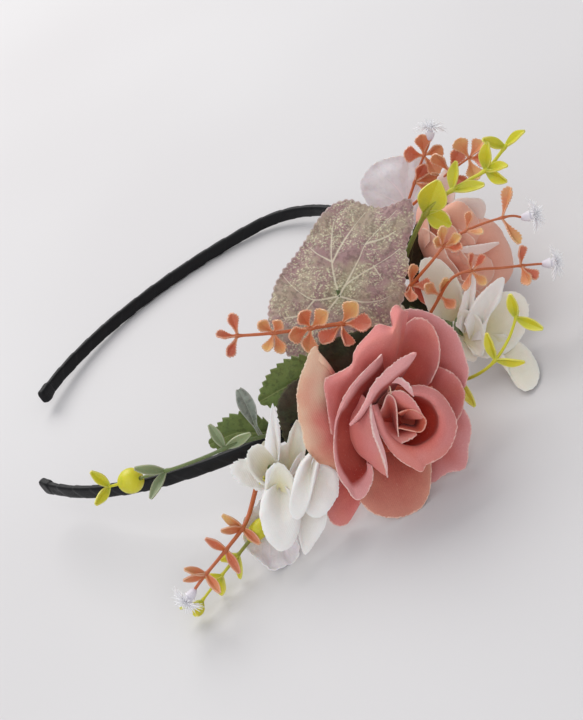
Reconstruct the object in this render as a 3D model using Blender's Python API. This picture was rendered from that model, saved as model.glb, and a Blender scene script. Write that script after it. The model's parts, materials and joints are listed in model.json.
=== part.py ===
"""Flower crown: a ribbon-covered spring-steel headband with cloth flowers and leaves and moulded sprigs.

The crown lies on a table. Its pieces are laid out in the band's own frame: the band curves in a plane, and
a place beside it is a Spot, with the distance along the band from the middle of the crown (positive towards
the far arm), the distance out from the centre line, and the height above the band's plane. Sizes are in
millimetres and become metres when a mesh is made.
"""

import math
from typing import NamedTuple

import bmesh
import bpy
from mathutils import Matrix, Vector

MM = 0.001

# Band: two half ellipses that share their widest chord.
HEAD_BREADTH = 134.0
CROWN_DEPTH = 39.0
ARM_DEPTH = 95.0
ARM_END_ANGLE = 155.9
BAND_STEP = 5.0
ANGLE_LIMIT = 170
ANGLES_PER_DEGREE = 2
STRIP_WIDTH = 3.2
STRIP_THICKNESS = 0.9
RIBBON_WALL = 0.2
RIBBON_CLEARANCE = 0.3
FOLD_LENGTH = 4.5
FOLD_WALL = 0.25

# Flexing places of the band, as distances along it.
NEAR_FLEX = -80.5
FAR_FLEX = 44.0
FLEX_GAP = 0.4

# How the crown lies: the band's plane leans on the flowers.
TILT_ACROSS = -9.4
TILT_ALONG = -2.40

GAP = 0.35
SHEET = 0.6
PETAL_ROWS = 3
PETAL_COLUMNS = 6
LEAF_SHEET = 0.5

# Large rose and its neighbours.
ROSE_RADIUS = 28.0
ROSE_DEPTH = 27.0
SMALL_ROSE_RADIUS = 17.5
SMALL_ROSE_DEPTH = 20.0
NEAR_BLOSSOM_RADIUS = 14.5
FAR_BLOSSOM_RADIUS = 14.5
BLOSSOM_DEPTH = 14.0

# Sizes the flowers were laid out for: what stands beside the large rose moves with any change from them.
LAID_OUT_ROSE_RADIUS = 28.0
LAID_OUT_HEAD_BREADTH = 134.0

STEM_RADIUS = 0.9
GLUE_HEIGHT = 1.6
PETIOLE_RADIUS = 0.6
SPRIG_SIDES = 6
SPRIG_STEP = 6.0
WHORL_LENGTH = 0.9
FLORET_RADIUS = 3.6
FLORET_DEPTH = 3.5


class Spot(NamedTuple):
    """A place beside the band."""

    along: float
    out: float
    up: float


# ---------------------------------------------------------------- band curve


def band_point(angle):
    """Centre line at an angle in radians, 0 at the middle of the crown."""
    depth = CROWN_DEPTH if math.cos(angle) >= 0 else ARM_DEPTH
    return Vector((depth * math.cos(angle), HEAD_BREADTH / 2 * math.sin(angle), 0))


def band_outward(angle):
    """Unit normal of the centre line, pointing away from the head."""
    depth = CROWN_DEPTH if math.cos(angle) >= 0 else ARM_DEPTH
    return Vector((math.cos(angle) / depth, math.sin(angle) / (HEAD_BREADTH / 2), 0)).normalized()


def measure_band():
    """Evenly spaced angles, in radians, and the distance along the band at each."""
    steps = ANGLE_LIMIT * ANGLES_PER_DEGREE
    angles = [math.radians(i / ANGLES_PER_DEGREE) for i in range(-steps, steps + 1)]
    lengths = [0.0]
    for before, after in zip(angles, angles[1:]):
        lengths.append(lengths[-1] + (band_point(after) - band_point(before)).length)
    middle = lengths[angles.index(0.0)]
    return angles, [length - middle for length in lengths]


ANGLES, LENGTHS = measure_band()


def angle_at(along):
    """The band angle at a distance along the band."""
    for i in range(1, len(LENGTHS)):
        if LENGTHS[i] >= along:
            share = (along - LENGTHS[i - 1]) / (LENGTHS[i] - LENGTHS[i - 1])
            return ANGLES[i - 1] + share * (ANGLES[i] - ANGLES[i - 1])
    return ANGLES[-1]


def length_at(angle_degrees):
    """Distance along the band at an angle in degrees."""
    place = (angle_degrees + ANGLE_LIMIT) * ANGLES_PER_DEGREE
    low = int(place)
    return LENGTHS[low] + (place - low) * (LENGTHS[low + 1] - LENGTHS[low])


ARM_END = length_at(ARM_END_ANGLE)


def place(spot):
    """The point of a Spot in the band's frame."""
    angle = angle_at(spot.along)
    return band_point(angle) + band_outward(angle) * spot.out + Vector((0, 0, spot.up))


def heading(spot, along, out, up):
    """A direction given by its parts along, out of and above the band, at a Spot."""
    outward = band_outward(angle_at(spot.along))
    forward = Vector((-outward.y, outward.x, 0))
    return (forward * along + outward * out + Vector((0, 0, up))).normalized()


# ---------------------------------------------------------------- scene and objects


def clear_scene():
    """Removes every object."""
    for thing in list(bpy.data.objects):
        bpy.data.objects.remove(thing, do_unlink=True)


def empty(name, parent, location):
    """An empty that carries the nodes of one body."""
    frame = bpy.data.objects.new(name, None)
    bpy.context.scene.collection.objects.link(frame)
    frame.parent = parent
    frame.location = location
    return frame


def finish_material(name, color, roughness, metallic=0.0):
    """A material with a Principled shader of one colour."""
    material = bpy.data.materials.new(name)
    material.use_nodes = True
    shader = material.node_tree.nodes["Principled BSDF"]
    shader.inputs["Base Color"].default_value = (*color, 1.0)
    shader.inputs["Roughness"].default_value = roughness
    shader.inputs["Metallic"].default_value = metallic
    return material


class Finish(NamedTuple):
    """What a material is made of, as far as its plain colour shows it."""

    color: tuple
    roughness: float
    metallic: float = 0.0


STEEL = Finish((0.55, 0.56, 0.58), 0.3, 1.0)
RIBBON = Finish((0.012, 0.012, 0.016), 0.45)
ROSE_PINK = Finish((0.72, 0.28, 0.27), 0.85)
BLUSH = Finish((0.80, 0.42, 0.36), 0.85)
WHITE = Finish((0.90, 0.89, 0.84), 0.8)
CREAM = Finish((0.80, 0.72, 0.35), 0.7)
MAUVE = Finish((0.32, 0.22, 0.22), 0.85)
LILAC = Finish((0.62, 0.58, 0.62), 0.85)
GREEN = Finish((0.06, 0.13, 0.04), 0.7)
CORAL = Finish((0.62, 0.22, 0.12), 0.45)
LIME = Finish((0.62, 0.62, 0.04), 0.4)
GLUE = Finish((0.75, 0.70, 0.58), 0.3)


def add_node(name, mesh_build, finish, body):
    """Makes an object from a bmesh in band millimetres, hung from its body's empty."""
    bmesh.ops.recalc_face_normals(mesh_build, faces=mesh_build.faces[:])
    mesh = bpy.data.meshes.new(name)
    mesh_build.to_mesh(mesh)
    mesh_build.free()
    mesh.transform(Matrix.Scale(MM, 4))
    mesh.transform(Matrix.Translation(-body.location))
    mesh.shade_smooth()
    mesh.set_sharp_from_angle(angle=math.radians(40))
    mesh.materials.append(finish_material(name, *finish))
    node = bpy.data.objects.new(name, mesh)
    bpy.context.scene.collection.objects.link(node)
    node.parent = body
    return node


# ---------------------------------------------------------------- mesh helpers


def bridge(build, first, second):
    """Quads between two rings of equal length."""
    count = len(first)
    for i in range(count):
        j = (i + 1) % count
        build.faces.new((first[i], first[j], second[j], second[i]))


def cap(build, ring, tip):
    """A fan from a ring to one point."""
    centre = build.verts.new(tip)
    count = len(ring)
    for i in range(count):
        build.faces.new((ring[i], ring[(i + 1) % count], centre))


def smooth_route(points, step):
    """Points about `step` apart on a Catmull-Rom curve through the given points."""
    ends = [points[0] * 2 - points[1], *points, points[-1] * 2 - points[-2]]
    route = [points[0].copy()]
    for before, start, stop, after in zip(ends, ends[1:], ends[2:], ends[3:]):
        count = max(1, round((stop - start).length / step))
        for i in range(1, count + 1):
            t = i / count
            route.append(
                0.5
                * (
                    2 * start
                    + (stop - before) * t
                    + (2 * before - 5 * start + 4 * stop - after) * t**2
                    + (3 * start - before - 3 * stop + after) * t**3
                )
            )
    return route


class Station(NamedTuple):
    """One cross-section's place on a route: its point, direction and two side directions."""

    point: Vector
    forward: Vector
    side: Vector
    top: Vector


def stations_on(route, side_hint):
    """Cross-section frames along a route, turned as little as possible from one to the next."""
    found = []
    side = side_hint
    for i, point in enumerate(route):
        forward = (route[min(i + 1, len(route) - 1)] - route[max(i - 1, 0)]).normalized()
        side = (side - forward * side.dot(forward)).normalized()
        found.append(Station(point, forward, side, forward.cross(side)))
    return found


def round_ring(build, station, radius, sides):
    """A ring of vertices around a station."""
    ring = []
    for i in range(sides):
        turn = 2 * math.pi * (i + 0.5) / sides
        offset = station.side * math.cos(turn) + station.top * math.sin(turn)
        ring.append(build.verts.new(station.point + offset * radius))
    return ring


def tapered_tube(points, radii, sides):
    """A closed tube through the points, with a radius at each."""
    build = bmesh.new()
    hint = (points[1] - points[0]).orthogonal().normalized()
    rings = [round_ring(build, s, r, sides) for s, r in zip(stations_on(points, hint), radii)]
    for first, second in zip(rings, rings[1:]):
        bridge(build, first, second)
    cap(build, rings[0], points[0])
    cap(build, rings[-1], points[-1])
    return build


# ---------------------------------------------------------------- band pieces


def band_section(build, along, half_thickness, half_width):
    """A rectangle of vertices across the band."""
    corners = ((-1, -1), (1, -1), (1, 1), (-1, 1))
    return [
        build.verts.new(place(Spot(along, out * half_thickness, up * half_width)))
        for out, up in corners
    ]


def band_lengths(start, stop):
    """Places for the sections of one stretch, about BAND_STEP apart."""
    count = max(3, round((stop - start) / BAND_STEP))
    return [start + (stop - start) * i / count for i in range(count + 1)]


def strip_piece(start, stop):
    """A stretch of the steel strip."""
    build = bmesh.new()
    rings = [
        band_section(build, along, STRIP_THICKNESS / 2, STRIP_WIDTH / 2)
        for along in band_lengths(start, stop)
    ]
    for first, second in zip(rings, rings[1:]):
        bridge(build, first, second)
    build.faces.new(rings[0])
    build.faces.new(rings[-1])
    return build


def sleeve_half_thickness():
    """Half the ribbon sleeve's size across the head."""
    return STRIP_THICKNESS / 2 + RIBBON_CLEARANCE + RIBBON_WALL


def sleeve_half_width():
    """Half the ribbon sleeve's size up and down."""
    return STRIP_WIDTH / 2 + RIBBON_CLEARANCE + RIBBON_WALL


def sleeve_piece(start, stop):
    """A stretch of the ribbon, a sleeve around the strip with both ends open."""
    build = bmesh.new()
    places = band_lengths(start, stop)
    outer = [
        band_section(build, along, sleeve_half_thickness(), sleeve_half_width()) for along in places
    ]
    inner = [
        band_section(
            build, along, sleeve_half_thickness() - RIBBON_WALL, sleeve_half_width() - RIBBON_WALL
        )
        for along in places
    ]
    for shell in (outer, inner):
        for first, second in zip(shell, shell[1:]):
            bridge(build, first, second)
    bridge(build, outer[0], inner[0])
    bridge(build, outer[-1], inner[-1])
    return build


def tip_fold(end):
    """The ribbon's folded end: a cap over one tip of the band, closed past the strip's end."""
    build = bmesh.new()
    sign = math.copysign(1, end)
    thick = sleeve_half_thickness() + GAP
    wide = sleeve_half_width() + GAP
    mouth = end - sign * FOLD_LENGTH
    floor = end + sign * GAP
    outside = [
        band_section(build, mouth, thick + FOLD_WALL, wide + FOLD_WALL),
        band_section(build, floor, thick + FOLD_WALL, wide + FOLD_WALL),
        band_section(build, floor + sign * 3 * FOLD_WALL, thick, wide),
    ]
    inside = [band_section(build, mouth, thick, wide), band_section(build, floor, thick, wide)]
    bridge(build, outside[0], outside[1])
    bridge(build, outside[1], outside[2])
    bridge(build, inside[0], inside[1])
    bridge(build, outside[0], inside[0])
    build.faces.new(outside[2])
    build.faces.new(inside[1])
    return build


# ---------------------------------------------------------------- flowers


class Bloom(NamedTuple):
    """A flower's base, its facing and the direction of its first petal."""

    base: Vector
    axis: Vector
    first: Vector


def bloom_at(spot, axis, first):
    """A flower at a Spot, its directions given along, out of and above the band."""
    facing = heading(spot, *axis)
    start = heading(spot, *first)
    start = (start - facing * start.dot(facing)).normalized()
    return Bloom(place(spot), facing, start)


class Whorl(NamedTuple):
    """One round of petals, punched from one piece of cloth: a lobed bowl."""

    radius: float
    depth: float
    lobes: int
    notch: float
    turn: float
    height: float
    arch: float = 80.0


def petal_whorl(bloom, whorl, rows, columns_per_lobe):
    """A lobed bowl of even thickness whose petals are lobes of one sheet."""
    build = bmesh.new()
    third = bloom.axis.cross(bloom.first)
    columns = whorl.lobes * columns_per_lobe
    full = math.radians(whorl.arch)

    def sheet(inset):
        scale = (whorl.radius - inset) / math.sin(full)
        rings = []
        for row in range(1, rows + 1):
            ring = []
            for column in range(columns):
                turn = 2 * math.pi * column / columns
                lobe = abs(math.cos(whorl.lobes * turn / 2)) ** 0.5
                reach = 1 - whorl.notch * (1 - lobe)
                bend = full * (0.22 + 0.78 * (row - 1) / (rows - 1) * reach if rows > 1 else reach)
                out = scale * math.sin(bend)
                rise = whorl.height + inset + whorl.depth * (1 - math.cos(bend)) / (1 - math.cos(full))
                angle = turn + math.radians(whorl.turn)
                spoke = bloom.first * math.cos(angle) + third * math.sin(angle)
                ring.append(build.verts.new(bloom.base + spoke * out + bloom.axis * rise))
            rings.append(ring)
        for first, second in zip(rings, rings[1:]):
            bridge(build, first, second)
        cap(build, rings[0], bloom.base + bloom.axis * (whorl.height + inset))
        return rings[-1]

    bridge(build, sheet(0.0), sheet(SHEET))
    return build


def turned(bloom, profile, sides):
    """A solid turned about a flower's axis, from (height, radius) pairs; its ends close on the axis."""
    build = bmesh.new()
    station = Station(bloom.base, bloom.axis, bloom.first, bloom.axis.cross(bloom.first))
    rings = []
    for height, radius in profile:
        moved = station._replace(point=bloom.base + bloom.axis * height)
        rings.append(round_ring(build, moved, radius, sides))
    for first, second in zip(rings, rings[1:]):
        bridge(build, first, second)
    cap(build, rings[0], bloom.base + bloom.axis * profile[0][0])
    cap(build, rings[-1], bloom.base + bloom.axis * profile[-1][0])
    return build


def bud_profile(height, length, radius):
    """A rolled bud: narrow foot, full middle, nearly closed top."""
    shares = ((0.0, 0.22), (0.25, 0.68), (0.55, 1.0), (0.82, 0.85), (1.0, 0.45))
    return [(height + length * rise, radius * width) for rise, width in shares]


def whorl_heights(count):
    """Where stacked whorls start along the flower's axis, each clear of the one below."""
    return [i * (SHEET + GAP) for i in range(count)]


def rose_whorls(radius, depth, shares, lobes):
    """Nested whorls from the open outside to the upright heart; each share is (radius, depth)."""
    heights = whorl_heights(len(shares))
    return [
        Whorl(radius * wide, depth * deep, count, 0.16, 41.0 * i, heights[i])
        for i, ((wide, deep), count) in enumerate(zip(shares, lobes))
    ]


def stem_to(bloom, spot, foot_radius):
    """A flower's stem: from the glue beside the band, flaring into the calyx under the petals."""
    start = place(spot)
    end = bloom.base - bloom.axis * GAP
    flare = bloom.base - bloom.axis * (GAP + 1.2)
    neck = bloom.base - bloom.axis * (GAP + 3.0)
    middle = start.lerp(neck, 0.5) - bloom.axis * 0.6
    points = [start, middle, neck, flare, end]
    radii = [STEM_RADIUS, STEM_RADIUS, STEM_RADIUS * 1.3, foot_radius * 0.8, foot_radius]
    return tapered_tube(points, radii, 8)


def glue_dab(spot, length, height):
    """A dab of hot glue on the band's outer face, flattened against the ribbon."""
    foot = sleeve_half_thickness() + RIBBON_CLEARANCE
    build = bmesh.new()
    rings = []
    for lift, size in ((0.0, 0.8), (0.35, 1.0), (0.75, 0.7), (1.0, 0.3)):
        ring = []
        for i in range(8):
            turn = 2 * math.pi * (i + 0.5) / 8
            ring.append(
                build.verts.new(
                    place(
                        Spot(
                            spot.along + length / 2 * size * math.cos(turn),
                            foot + GLUE_HEIGHT * lift,
                            spot.up + height / 2 * size * math.sin(turn),
                        )
                    )
                )
            )
        rings.append(ring)
    for first, second in zip(rings, rings[1:]):
        bridge(build, first, second)
    cap(build, rings[0], place(Spot(spot.along, foot, spot.up)))
    cap(build, rings[-1], place(Spot(spot.along, foot + GLUE_HEIGHT, spot.up)))
    return build


def stem_foot(along, up):
    """Where a stem starts, just outside its dab of glue."""
    out = sleeve_half_thickness() + RIBBON_CLEARANCE + GLUE_HEIGHT + GAP + STEM_RADIUS
    return Spot(along, out, up)


# ---------------------------------------------------------------- leaves


class LeafShape(NamedTuple):
    """A long leaf: half width at the widest, share of its length that is petiole, teeth and fold."""

    half_width: float
    petiole: float
    teeth: int
    tooth: float
    fold: float
    widest: float = 0.4


def long_leaf(route_spots, facing, shape):
    """A toothed leaf and its petiole, in one piece along a curved route."""
    points = [place(spot) for spot in route_spots]
    length = sum((b - a).length for a, b in zip(points, points[1:]))
    route = smooth_route(points, length / (2 * shape.teeth))
    build = bmesh.new()
    side_hint = facing.cross(points[-1] - points[0]).normalized()
    rows = []
    for i, station in enumerate(stations_on(route, side_hint)):
        share = i / (len(route) - 1)
        blade = (share - shape.petiole) / (1 - shape.petiole)
        half = PETIOLE_RADIUS
        thick = 2 * PETIOLE_RADIUS
        if blade > 0:
            peak = math.log(0.5) / math.log(shape.widest)
            half += shape.half_width * math.sin(math.pi * blade**peak) ** 0.75
            half += shape.tooth * (i % 2) * (0 if blade > 0.97 else 1)
            thick = LEAF_SHEET
        lift = shape.fold * max(0.0, half - PETIOLE_RADIUS)
        row = []
        for across in (-1, 0, 1):
            base = station.point + station.side * half * across + station.top * lift * abs(across)
            row.append((build.verts.new(base), build.verts.new(base + station.top * thick)))
        rows.append(row)
    for (a0, a1, a2), (b0, b1, b2) in zip(rows, rows[1:]):
        for left_a, right_a, left_b, right_b in ((a0, a1, b0, b1), (a1, a2, b1, b2)):
            build.faces.new((left_a[0], right_a[0], right_b[0], left_b[0]))
            build.faces.new((left_a[1], right_a[1], right_b[1], left_b[1]))
        build.faces.new((a0[0], a0[1], b0[1], b0[0]))
        build.faces.new((a2[0], a2[1], b2[1], b2[0]))
    for row in (rows[0], rows[-1]):
        build.faces.new((row[0][0], row[1][0], row[1][1], row[0][1]))
        build.faces.new((row[1][0], row[2][0], row[2][1], row[1][1]))
    return build


def heart_leaf(centre, right, up, outline, teeth, tooth, cup):
    """A broad heart-shaped blade around the place where its stalk meets it.

    The outline gives the blade's reach at a few directions, in degrees from `right` towards `up`.
    """
    build = bmesh.new()
    facing = right.cross(up)
    count = 2 * teeth
    directions = [outline[-1][0] - 360, *[turn for turn, _ in outline], outline[0][0] + 360]
    reaches = [outline[-1][1], *[reach for _, reach in outline], outline[0][1]]

    def reach_at(turn):
        i = max(k for k, direction in enumerate(directions) if direction <= turn)
        i = min(i, len(directions) - 2)
        share = (turn - directions[i]) / (directions[i + 1] - directions[i])
        share = (1 - math.cos(math.pi * share)) / 2
        return reaches[i] + share * (reaches[i + 1] - reaches[i])

    def layer(lift):
        rings = []
        for share in (0.5, 1.0):
            ring = []
            for i in range(count):
                turn = 360 * i / count
                reach = reach_at(turn) * share + (tooth * (i % 2) if share == 1.0 else 0.0)
                spoke = right * math.cos(math.radians(turn)) + up * math.sin(math.radians(turn))
                bow = lift + cup * (reach / reaches[1]) ** 2
                ring.append(build.verts.new(centre + spoke * reach + facing * bow))
            rings.append(ring)
        bridge(build, rings[0], rings[1])
        cap(build, rings[0], centre + facing * lift)
        return rings[1]

    bridge(build, layer(0.0), layer(LEAF_SHEET))
    return build


# ---------------------------------------------------------------- sprigs


class Leaflets(NamedTuple):
    """Leaflets that grow from chosen sides of a stem at one distance along it."""

    along: float
    sides: tuple
    length: float
    width: float
    pitch: float


def grow_leaflet(build, corners, station, length, width, pitch):
    """A flat oval leaflet that grows out of one side face of a stem."""
    a, b, c, d = corners
    root = (a.co + b.co + c.co + d.co) / 4
    outward = (root - station.point).normalized()
    outward = (outward - station.forward * outward.dot(station.forward)).normalized()
    tilt = math.radians(pitch)
    forward = outward * math.cos(tilt) + station.forward * math.sin(tilt)
    across = (b.co - a.co).normalized()
    through = forward.cross(across).normalized()
    if through.dot(station.forward) < 0:
        through.negate()
    ring = [a, b, c, d]
    for share, wide, thick in ((0.3, 0.7, 0.7), (0.65, 1.0, 0.6), (1.0, 0.15, 0.3)):
        middle = root + forward * length * share + through * (length * 0.12 * share**2)
        half = across * (width / 2 * wide)
        depth = through * (thick / 2)
        ring_next = [
            build.verts.new(middle - half - depth),
            build.verts.new(middle + half - depth),
            build.verts.new(middle + half + depth),
            build.verts.new(middle - half + depth),
        ]
        bridge(build, ring, ring_next)
        ring = ring_next
    build.faces.new(ring)


def sprig(route_spots, leaflets, radius, swelling=None):
    """A moulded plastic stem with its leaflets, in one piece, with a pod where it swells.

    `swelling` is (distance along the stem, radius, half length) of a pod.
    """
    points = [place(spot) for spot in route_spots]
    fine = smooth_route(points, 1.0)
    travelled = [0.0]
    for before, after in zip(fine, fine[1:]):
        travelled.append(travelled[-1] + (after - before).length)
    total = travelled[-1]

    def at(distance):
        i = max(1, next((k for k, t in enumerate(travelled) if t >= distance), len(fine) - 1))
        share = (distance - travelled[i - 1]) / (travelled[i] - travelled[i - 1])
        return fine[i - 1].lerp(fine[i], share)

    marks = {0.0, total}
    for group in leaflets:
        marks.update((group.along * total - WHORL_LENGTH / 2, group.along * total + WHORL_LENGTH / 2))
    if swelling:
        marks.update(swelling[0] * total + swelling[2] * k / 3 for k in range(-3, 4))
    marks = sorted(marks)
    spaced = [marks[0]]
    for mark in marks[1:]:
        count = max(1, round((mark - spaced[-1]) / SPRIG_STEP))
        start = spaced[-1]
        spaced.extend(start + (mark - start) * i / count for i in range(1, count + 1))

    def radius_at(distance):
        taper = radius * (1 - 0.35 * distance / total)
        if swelling:
            off = (distance - swelling[0] * total) / swelling[2]
            if abs(off) < 1:
                return max(taper, swelling[1] * math.sqrt(1 - off * off))
        return taper

    build = bmesh.new()
    hint = (points[1] - points[0]).cross(Vector((0, 0, 1))).normalized()
    stations = stations_on([at(distance) for distance in spaced], hint)
    rings = [
        round_ring(build, station, radius_at(distance), SPRIG_SIDES)
        for station, distance in zip(stations, spaced)
    ]
    growing = {}
    for group in leaflets:
        middle = group.along * total
        k = min(range(len(spaced) - 1), key=lambda i: abs((spaced[i] + spaced[i + 1]) / 2 - middle))
        for side in group.sides:
            growing[(k, side)] = group
    for k, (first, second) in enumerate(zip(rings, rings[1:])):
        for side in range(SPRIG_SIDES):
            nxt = (side + 1) % SPRIG_SIDES
            corners = (first[side], first[nxt], second[nxt], second[side])
            group = growing.get((k, side))
            if group is None:
                build.faces.new(corners)
            else:
                grow_leaflet(build, corners, stations[k], group.length, group.width, group.pitch)
    cap(build, rings[0], stations[0].point)
    cap(build, rings[-1], stations[-1].point)
    return build


# ---------------------------------------------------------------- the crown's own pieces


def build_band(root, near, far):
    """The strip, its ribbon and the ribbon's folded ends."""
    reach = ARM_END - GAP
    stretches = (
        ("near_arm", -reach, NEAR_FLEX - FLEX_GAP / 2, near),
        ("crown", NEAR_FLEX + FLEX_GAP / 2, FAR_FLEX - FLEX_GAP / 2, root),
        ("far_arm", FAR_FLEX + FLEX_GAP / 2, reach, far),
    )
    for label, start, stop, body in stretches:
        add_node(f"{label}_strip", strip_piece(start, stop), STEEL, body)
        add_node(f"{label}_ribbon", sleeve_piece(start, stop), RIBBON, body)
    add_node("near_tip_fold", tip_fold(-reach), RIBBON, near)
    add_node("far_tip_fold", tip_fold(reach), RIBBON, far)


def rose_growth():
    """How much wider the large rose is than the one its neighbours were laid out for."""
    return ROSE_RADIUS - LAID_OUT_ROSE_RADIUS


def build_large_rose(root):
    """The dusty-pink rose, which stands further out the wider it is."""
    spot = Spot(-71.0, 8.0 + rose_growth(), -8.0)
    bloom = bloom_at(spot, (-0.11, 0.92, 0.38), (0.64, -0.16, 0.75))
    shares = ((1.0, 0.42), (0.87, 0.62), (0.70, 0.77), (0.52, 0.87), (0.35, 0.94))
    for i, whorl in enumerate(rose_whorls(ROSE_RADIUS, ROSE_DEPTH, shares, (5, 5, 5, 4, 3))):
        petals = petal_whorl(bloom, whorl, PETAL_ROWS, PETAL_COLUMNS)
        add_node(f"large_rose_petals_{i + 1}", petals, ROSE_PINK, root)
    height = whorl_heights(len(shares) + 1)[-1]
    heart = bud_profile(height + GAP, ROSE_DEPTH - height, ROSE_RADIUS * 0.155)
    add_node("large_rose_heart", turned(bloom, heart, 12), ROSE_PINK, root)
    foot = stem_foot(-68.0, 0.0)
    add_node("large_rose_stem", stem_to(bloom, foot, 4.5), GREEN, root)
    add_node("large_rose_glue", glue_dab(foot, 8.0, 3.6), GLUE, root)


def build_small_rose(root):
    """The blush rose."""
    spot = Spot(-13.0, 9.5, -1.0)
    bloom = bloom_at(spot, (-0.01, 0.99, 0.12), (0.0, -0.1, 1.0))
    shares = ((1.0, 0.55), (0.78, 0.78), (0.54, 0.92))
    for i, whorl in enumerate(rose_whorls(SMALL_ROSE_RADIUS, SMALL_ROSE_DEPTH, shares, (5, 5, 4))):
        petals = petal_whorl(bloom, whorl, PETAL_ROWS, PETAL_COLUMNS)
        add_node(f"small_rose_petals_{i + 1}", petals, BLUSH, root)
    height = whorl_heights(len(shares) + 1)[-1]
    heart = bud_profile(height + GAP, SMALL_ROSE_DEPTH - height, SMALL_ROSE_RADIUS * 0.22)
    add_node("small_rose_heart", turned(bloom, heart, 12), BLUSH, root)
    foot = stem_foot(-13.0, 0.0)
    add_node("small_rose_stem", stem_to(bloom, foot, 4.0), GREEN, root)
    add_node("small_rose_glue", glue_dab(foot, 6.0, 3.6), GLUE, root)


def build_blossom(label, spot, axis, radius, foot, body):
    """A white blossom: two rounds of deeply cut petals around a cream eye."""
    bloom = bloom_at(spot, axis, (0.0, -0.1, 1.0))
    heights = whorl_heights(3)
    outer = Whorl(radius, BLOSSOM_DEPTH * 0.55, 6, 0.62, 0.0, heights[0])
    inner = Whorl(radius * 0.68, BLOSSOM_DEPTH, 5, 0.55, 20.0, heights[1])
    add_node(f"{label}_outer_petals", petal_whorl(bloom, outer, PETAL_ROWS, PETAL_COLUMNS), WHITE, body)
    add_node(f"{label}_inner_petals", petal_whorl(bloom, inner, PETAL_ROWS, PETAL_COLUMNS), WHITE, body)
    eye = bud_profile(heights[2], 5.0, 2.2)
    add_node(f"{label}_eye", turned(bloom, eye, 8), CREAM, body)
    add_node(f"{label}_stem", stem_to(bloom, foot, 3.2), GREEN, body)
    add_node(f"{label}_glue", glue_dab(foot, 5.0, 3.4), GLUE, body)


def build_blossoms(root, near):
    """The two white blossoms."""
    build_blossom(
        "near_blossom",
        Spot(-100.0, 10.5, -4.5),
        (-0.42, 0.80, 0.38),
        NEAR_BLOSSOM_RADIUS,
        stem_foot(-99.0, 0.0),
        near,
    )
    build_blossom(
        "far_blossom",
        Spot(-38.5, 17.5, -9.5),
        (-0.20, 0.97, -0.05),
        FAR_BLOSSOM_RADIUS,
        stem_foot(-36.5, 0.0),
        root,
    )


# The mauve leaf's margin: a direction, in degrees from the leaf's right towards its top, and the reach.
MAUVE_OUTLINE = (
    (5, 19.5),
    (22, 21.0),
    (49, 31.0),
    (66, 25.5),
    (87, 25.5),
    (126, 16.0),
    (155, 14.5),
    (197, 19.5),
    (230, 23.0),
    (252, 18.0),
    (266, 6.0),
    (285, 14.0),
    (315, 17.0),
)


def build_leaves(root, near):
    """The mauve leaf with its stalk, and the long leaves."""
    spot = Spot(-47.1, -7.5, 18.9)
    centre = place(spot)
    right = heading(spot, 0.29, 0.84, -0.46)
    up = heading(spot, 0.63, 0.19, 0.75)
    up = (up - right * up.dot(right)).normalized()
    blade = heart_leaf(centre, right, up, MAUVE_OUTLINE, 36, 0.7, -1.5)
    add_node("mauve_leaf", blade, MAUVE, root)
    behind = right.cross(up)
    root_end = place(Spot(-48.0, -3.2, 3.0))
    stalk = [centre - behind * 1.3, centre - behind * 2.2 - up * 4.0, centre.lerp(root_end, 0.6), root_end]
    stalk[2] -= behind * 4.0
    route = smooth_route(stalk, 4.0)
    add_node("mauve_leaf_stalk", tapered_tube(route, [0.8] * len(route), 6), GREEN, root)

    facing = heading(Spot(8.0, 12.0, 8.0), -0.88, 0.05, 0.48)
    route = (Spot(5.0, 3.0, 1.5), Spot(7.0, 8.0, 1.0), Spot(11.0, 11.0, 9.0), Spot(13.0, 16.5, 24.0))
    shape = LeafShape(10.5, 0.22, 12, 0.6, 0.10, 0.45)
    add_node("lilac_leaf", long_leaf(route, facing, shape), LILAC, root)

    facing = heading(Spot(-107.0, 15.0, -20.0), 0.25, 0.84, 0.48)
    route = (
        Spot(-103.0, 2.6, -3.2),
        Spot(-104.5, 5.0, -10.5),
        Spot(-107.0, 9.5, -18.5),
        Spot(-111.0, 19.0, -24.5),
    )
    shape = LeafShape(8.5, 0.25, 12, 0.6, 0.08, 0.5)
    add_node("low_lilac_leaf", long_leaf(route, facing, shape), LILAC, near)

    facing = heading(Spot(-88.0, -4.0, 9.0), 0.14, 0.87, 0.48)
    route = (
        Spot(-68.0, -1.5, 3.6),
        Spot(-75.5, -4.0, 7.5),
        Spot(-86.0, -6.0, 9.5),
        Spot(-97.0, -6.5, 8.8),
    )
    shape = LeafShape(6.0, 0.2, 14, 0.6, 0.12, 0.45)
    add_node("upper_green_leaf", long_leaf(route, facing, shape), GREEN, root)

    facing = heading(Spot(-105.0, -3.0, 5.0), 0.27, 0.84, 0.48)
    route = (
        Spot(-95.0, -3.7, -1.0),
        Spot(-102.0, -4.6, 1.0),
        Spot(-108.0, -5.4, 3.2),
        Spot(-117.0, -5.2, 3.0),
    )
    shape = LeafShape(4.5, 0.15, 12, 0.5, 0.10, 0.5)
    add_node("lower_green_leaf", long_leaf(route, facing, shape), GREEN, near)

    facing = heading(Spot(-97.0, 3.0, 12.0), 0.2, 0.84, 0.48)
    route = (Spot(-100.0, 0.5, 3.0), Spot(-99.8, 0.3, 7.0), Spot(-99.0, 0.0, 12.0), Spot(-98.5, -0.5, 18.5))
    shape = LeafShape(2.3, 0.25, 7, 0.0, 0.15, 0.5)
    add_node("small_grey_leaf", long_leaf(route, facing, shape), GREEN, near)

    facing = heading(Spot(-18.0, 8.0, 8.0), -0.3, 0.75, 0.55)
    route = (Spot(-24.0, 2.0, 3.2), Spot(-22.5, 4.0, 6.5), Spot(-19.0, 5.5, 12.0), Spot(-14.0, 7.5, 18.0))
    shape = LeafShape(3.6, 0.15, 9, 0.4, 0.12, 0.45)
    add_node("dark_green_leaf", long_leaf(route, facing, shape), GREEN, root)


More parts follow.
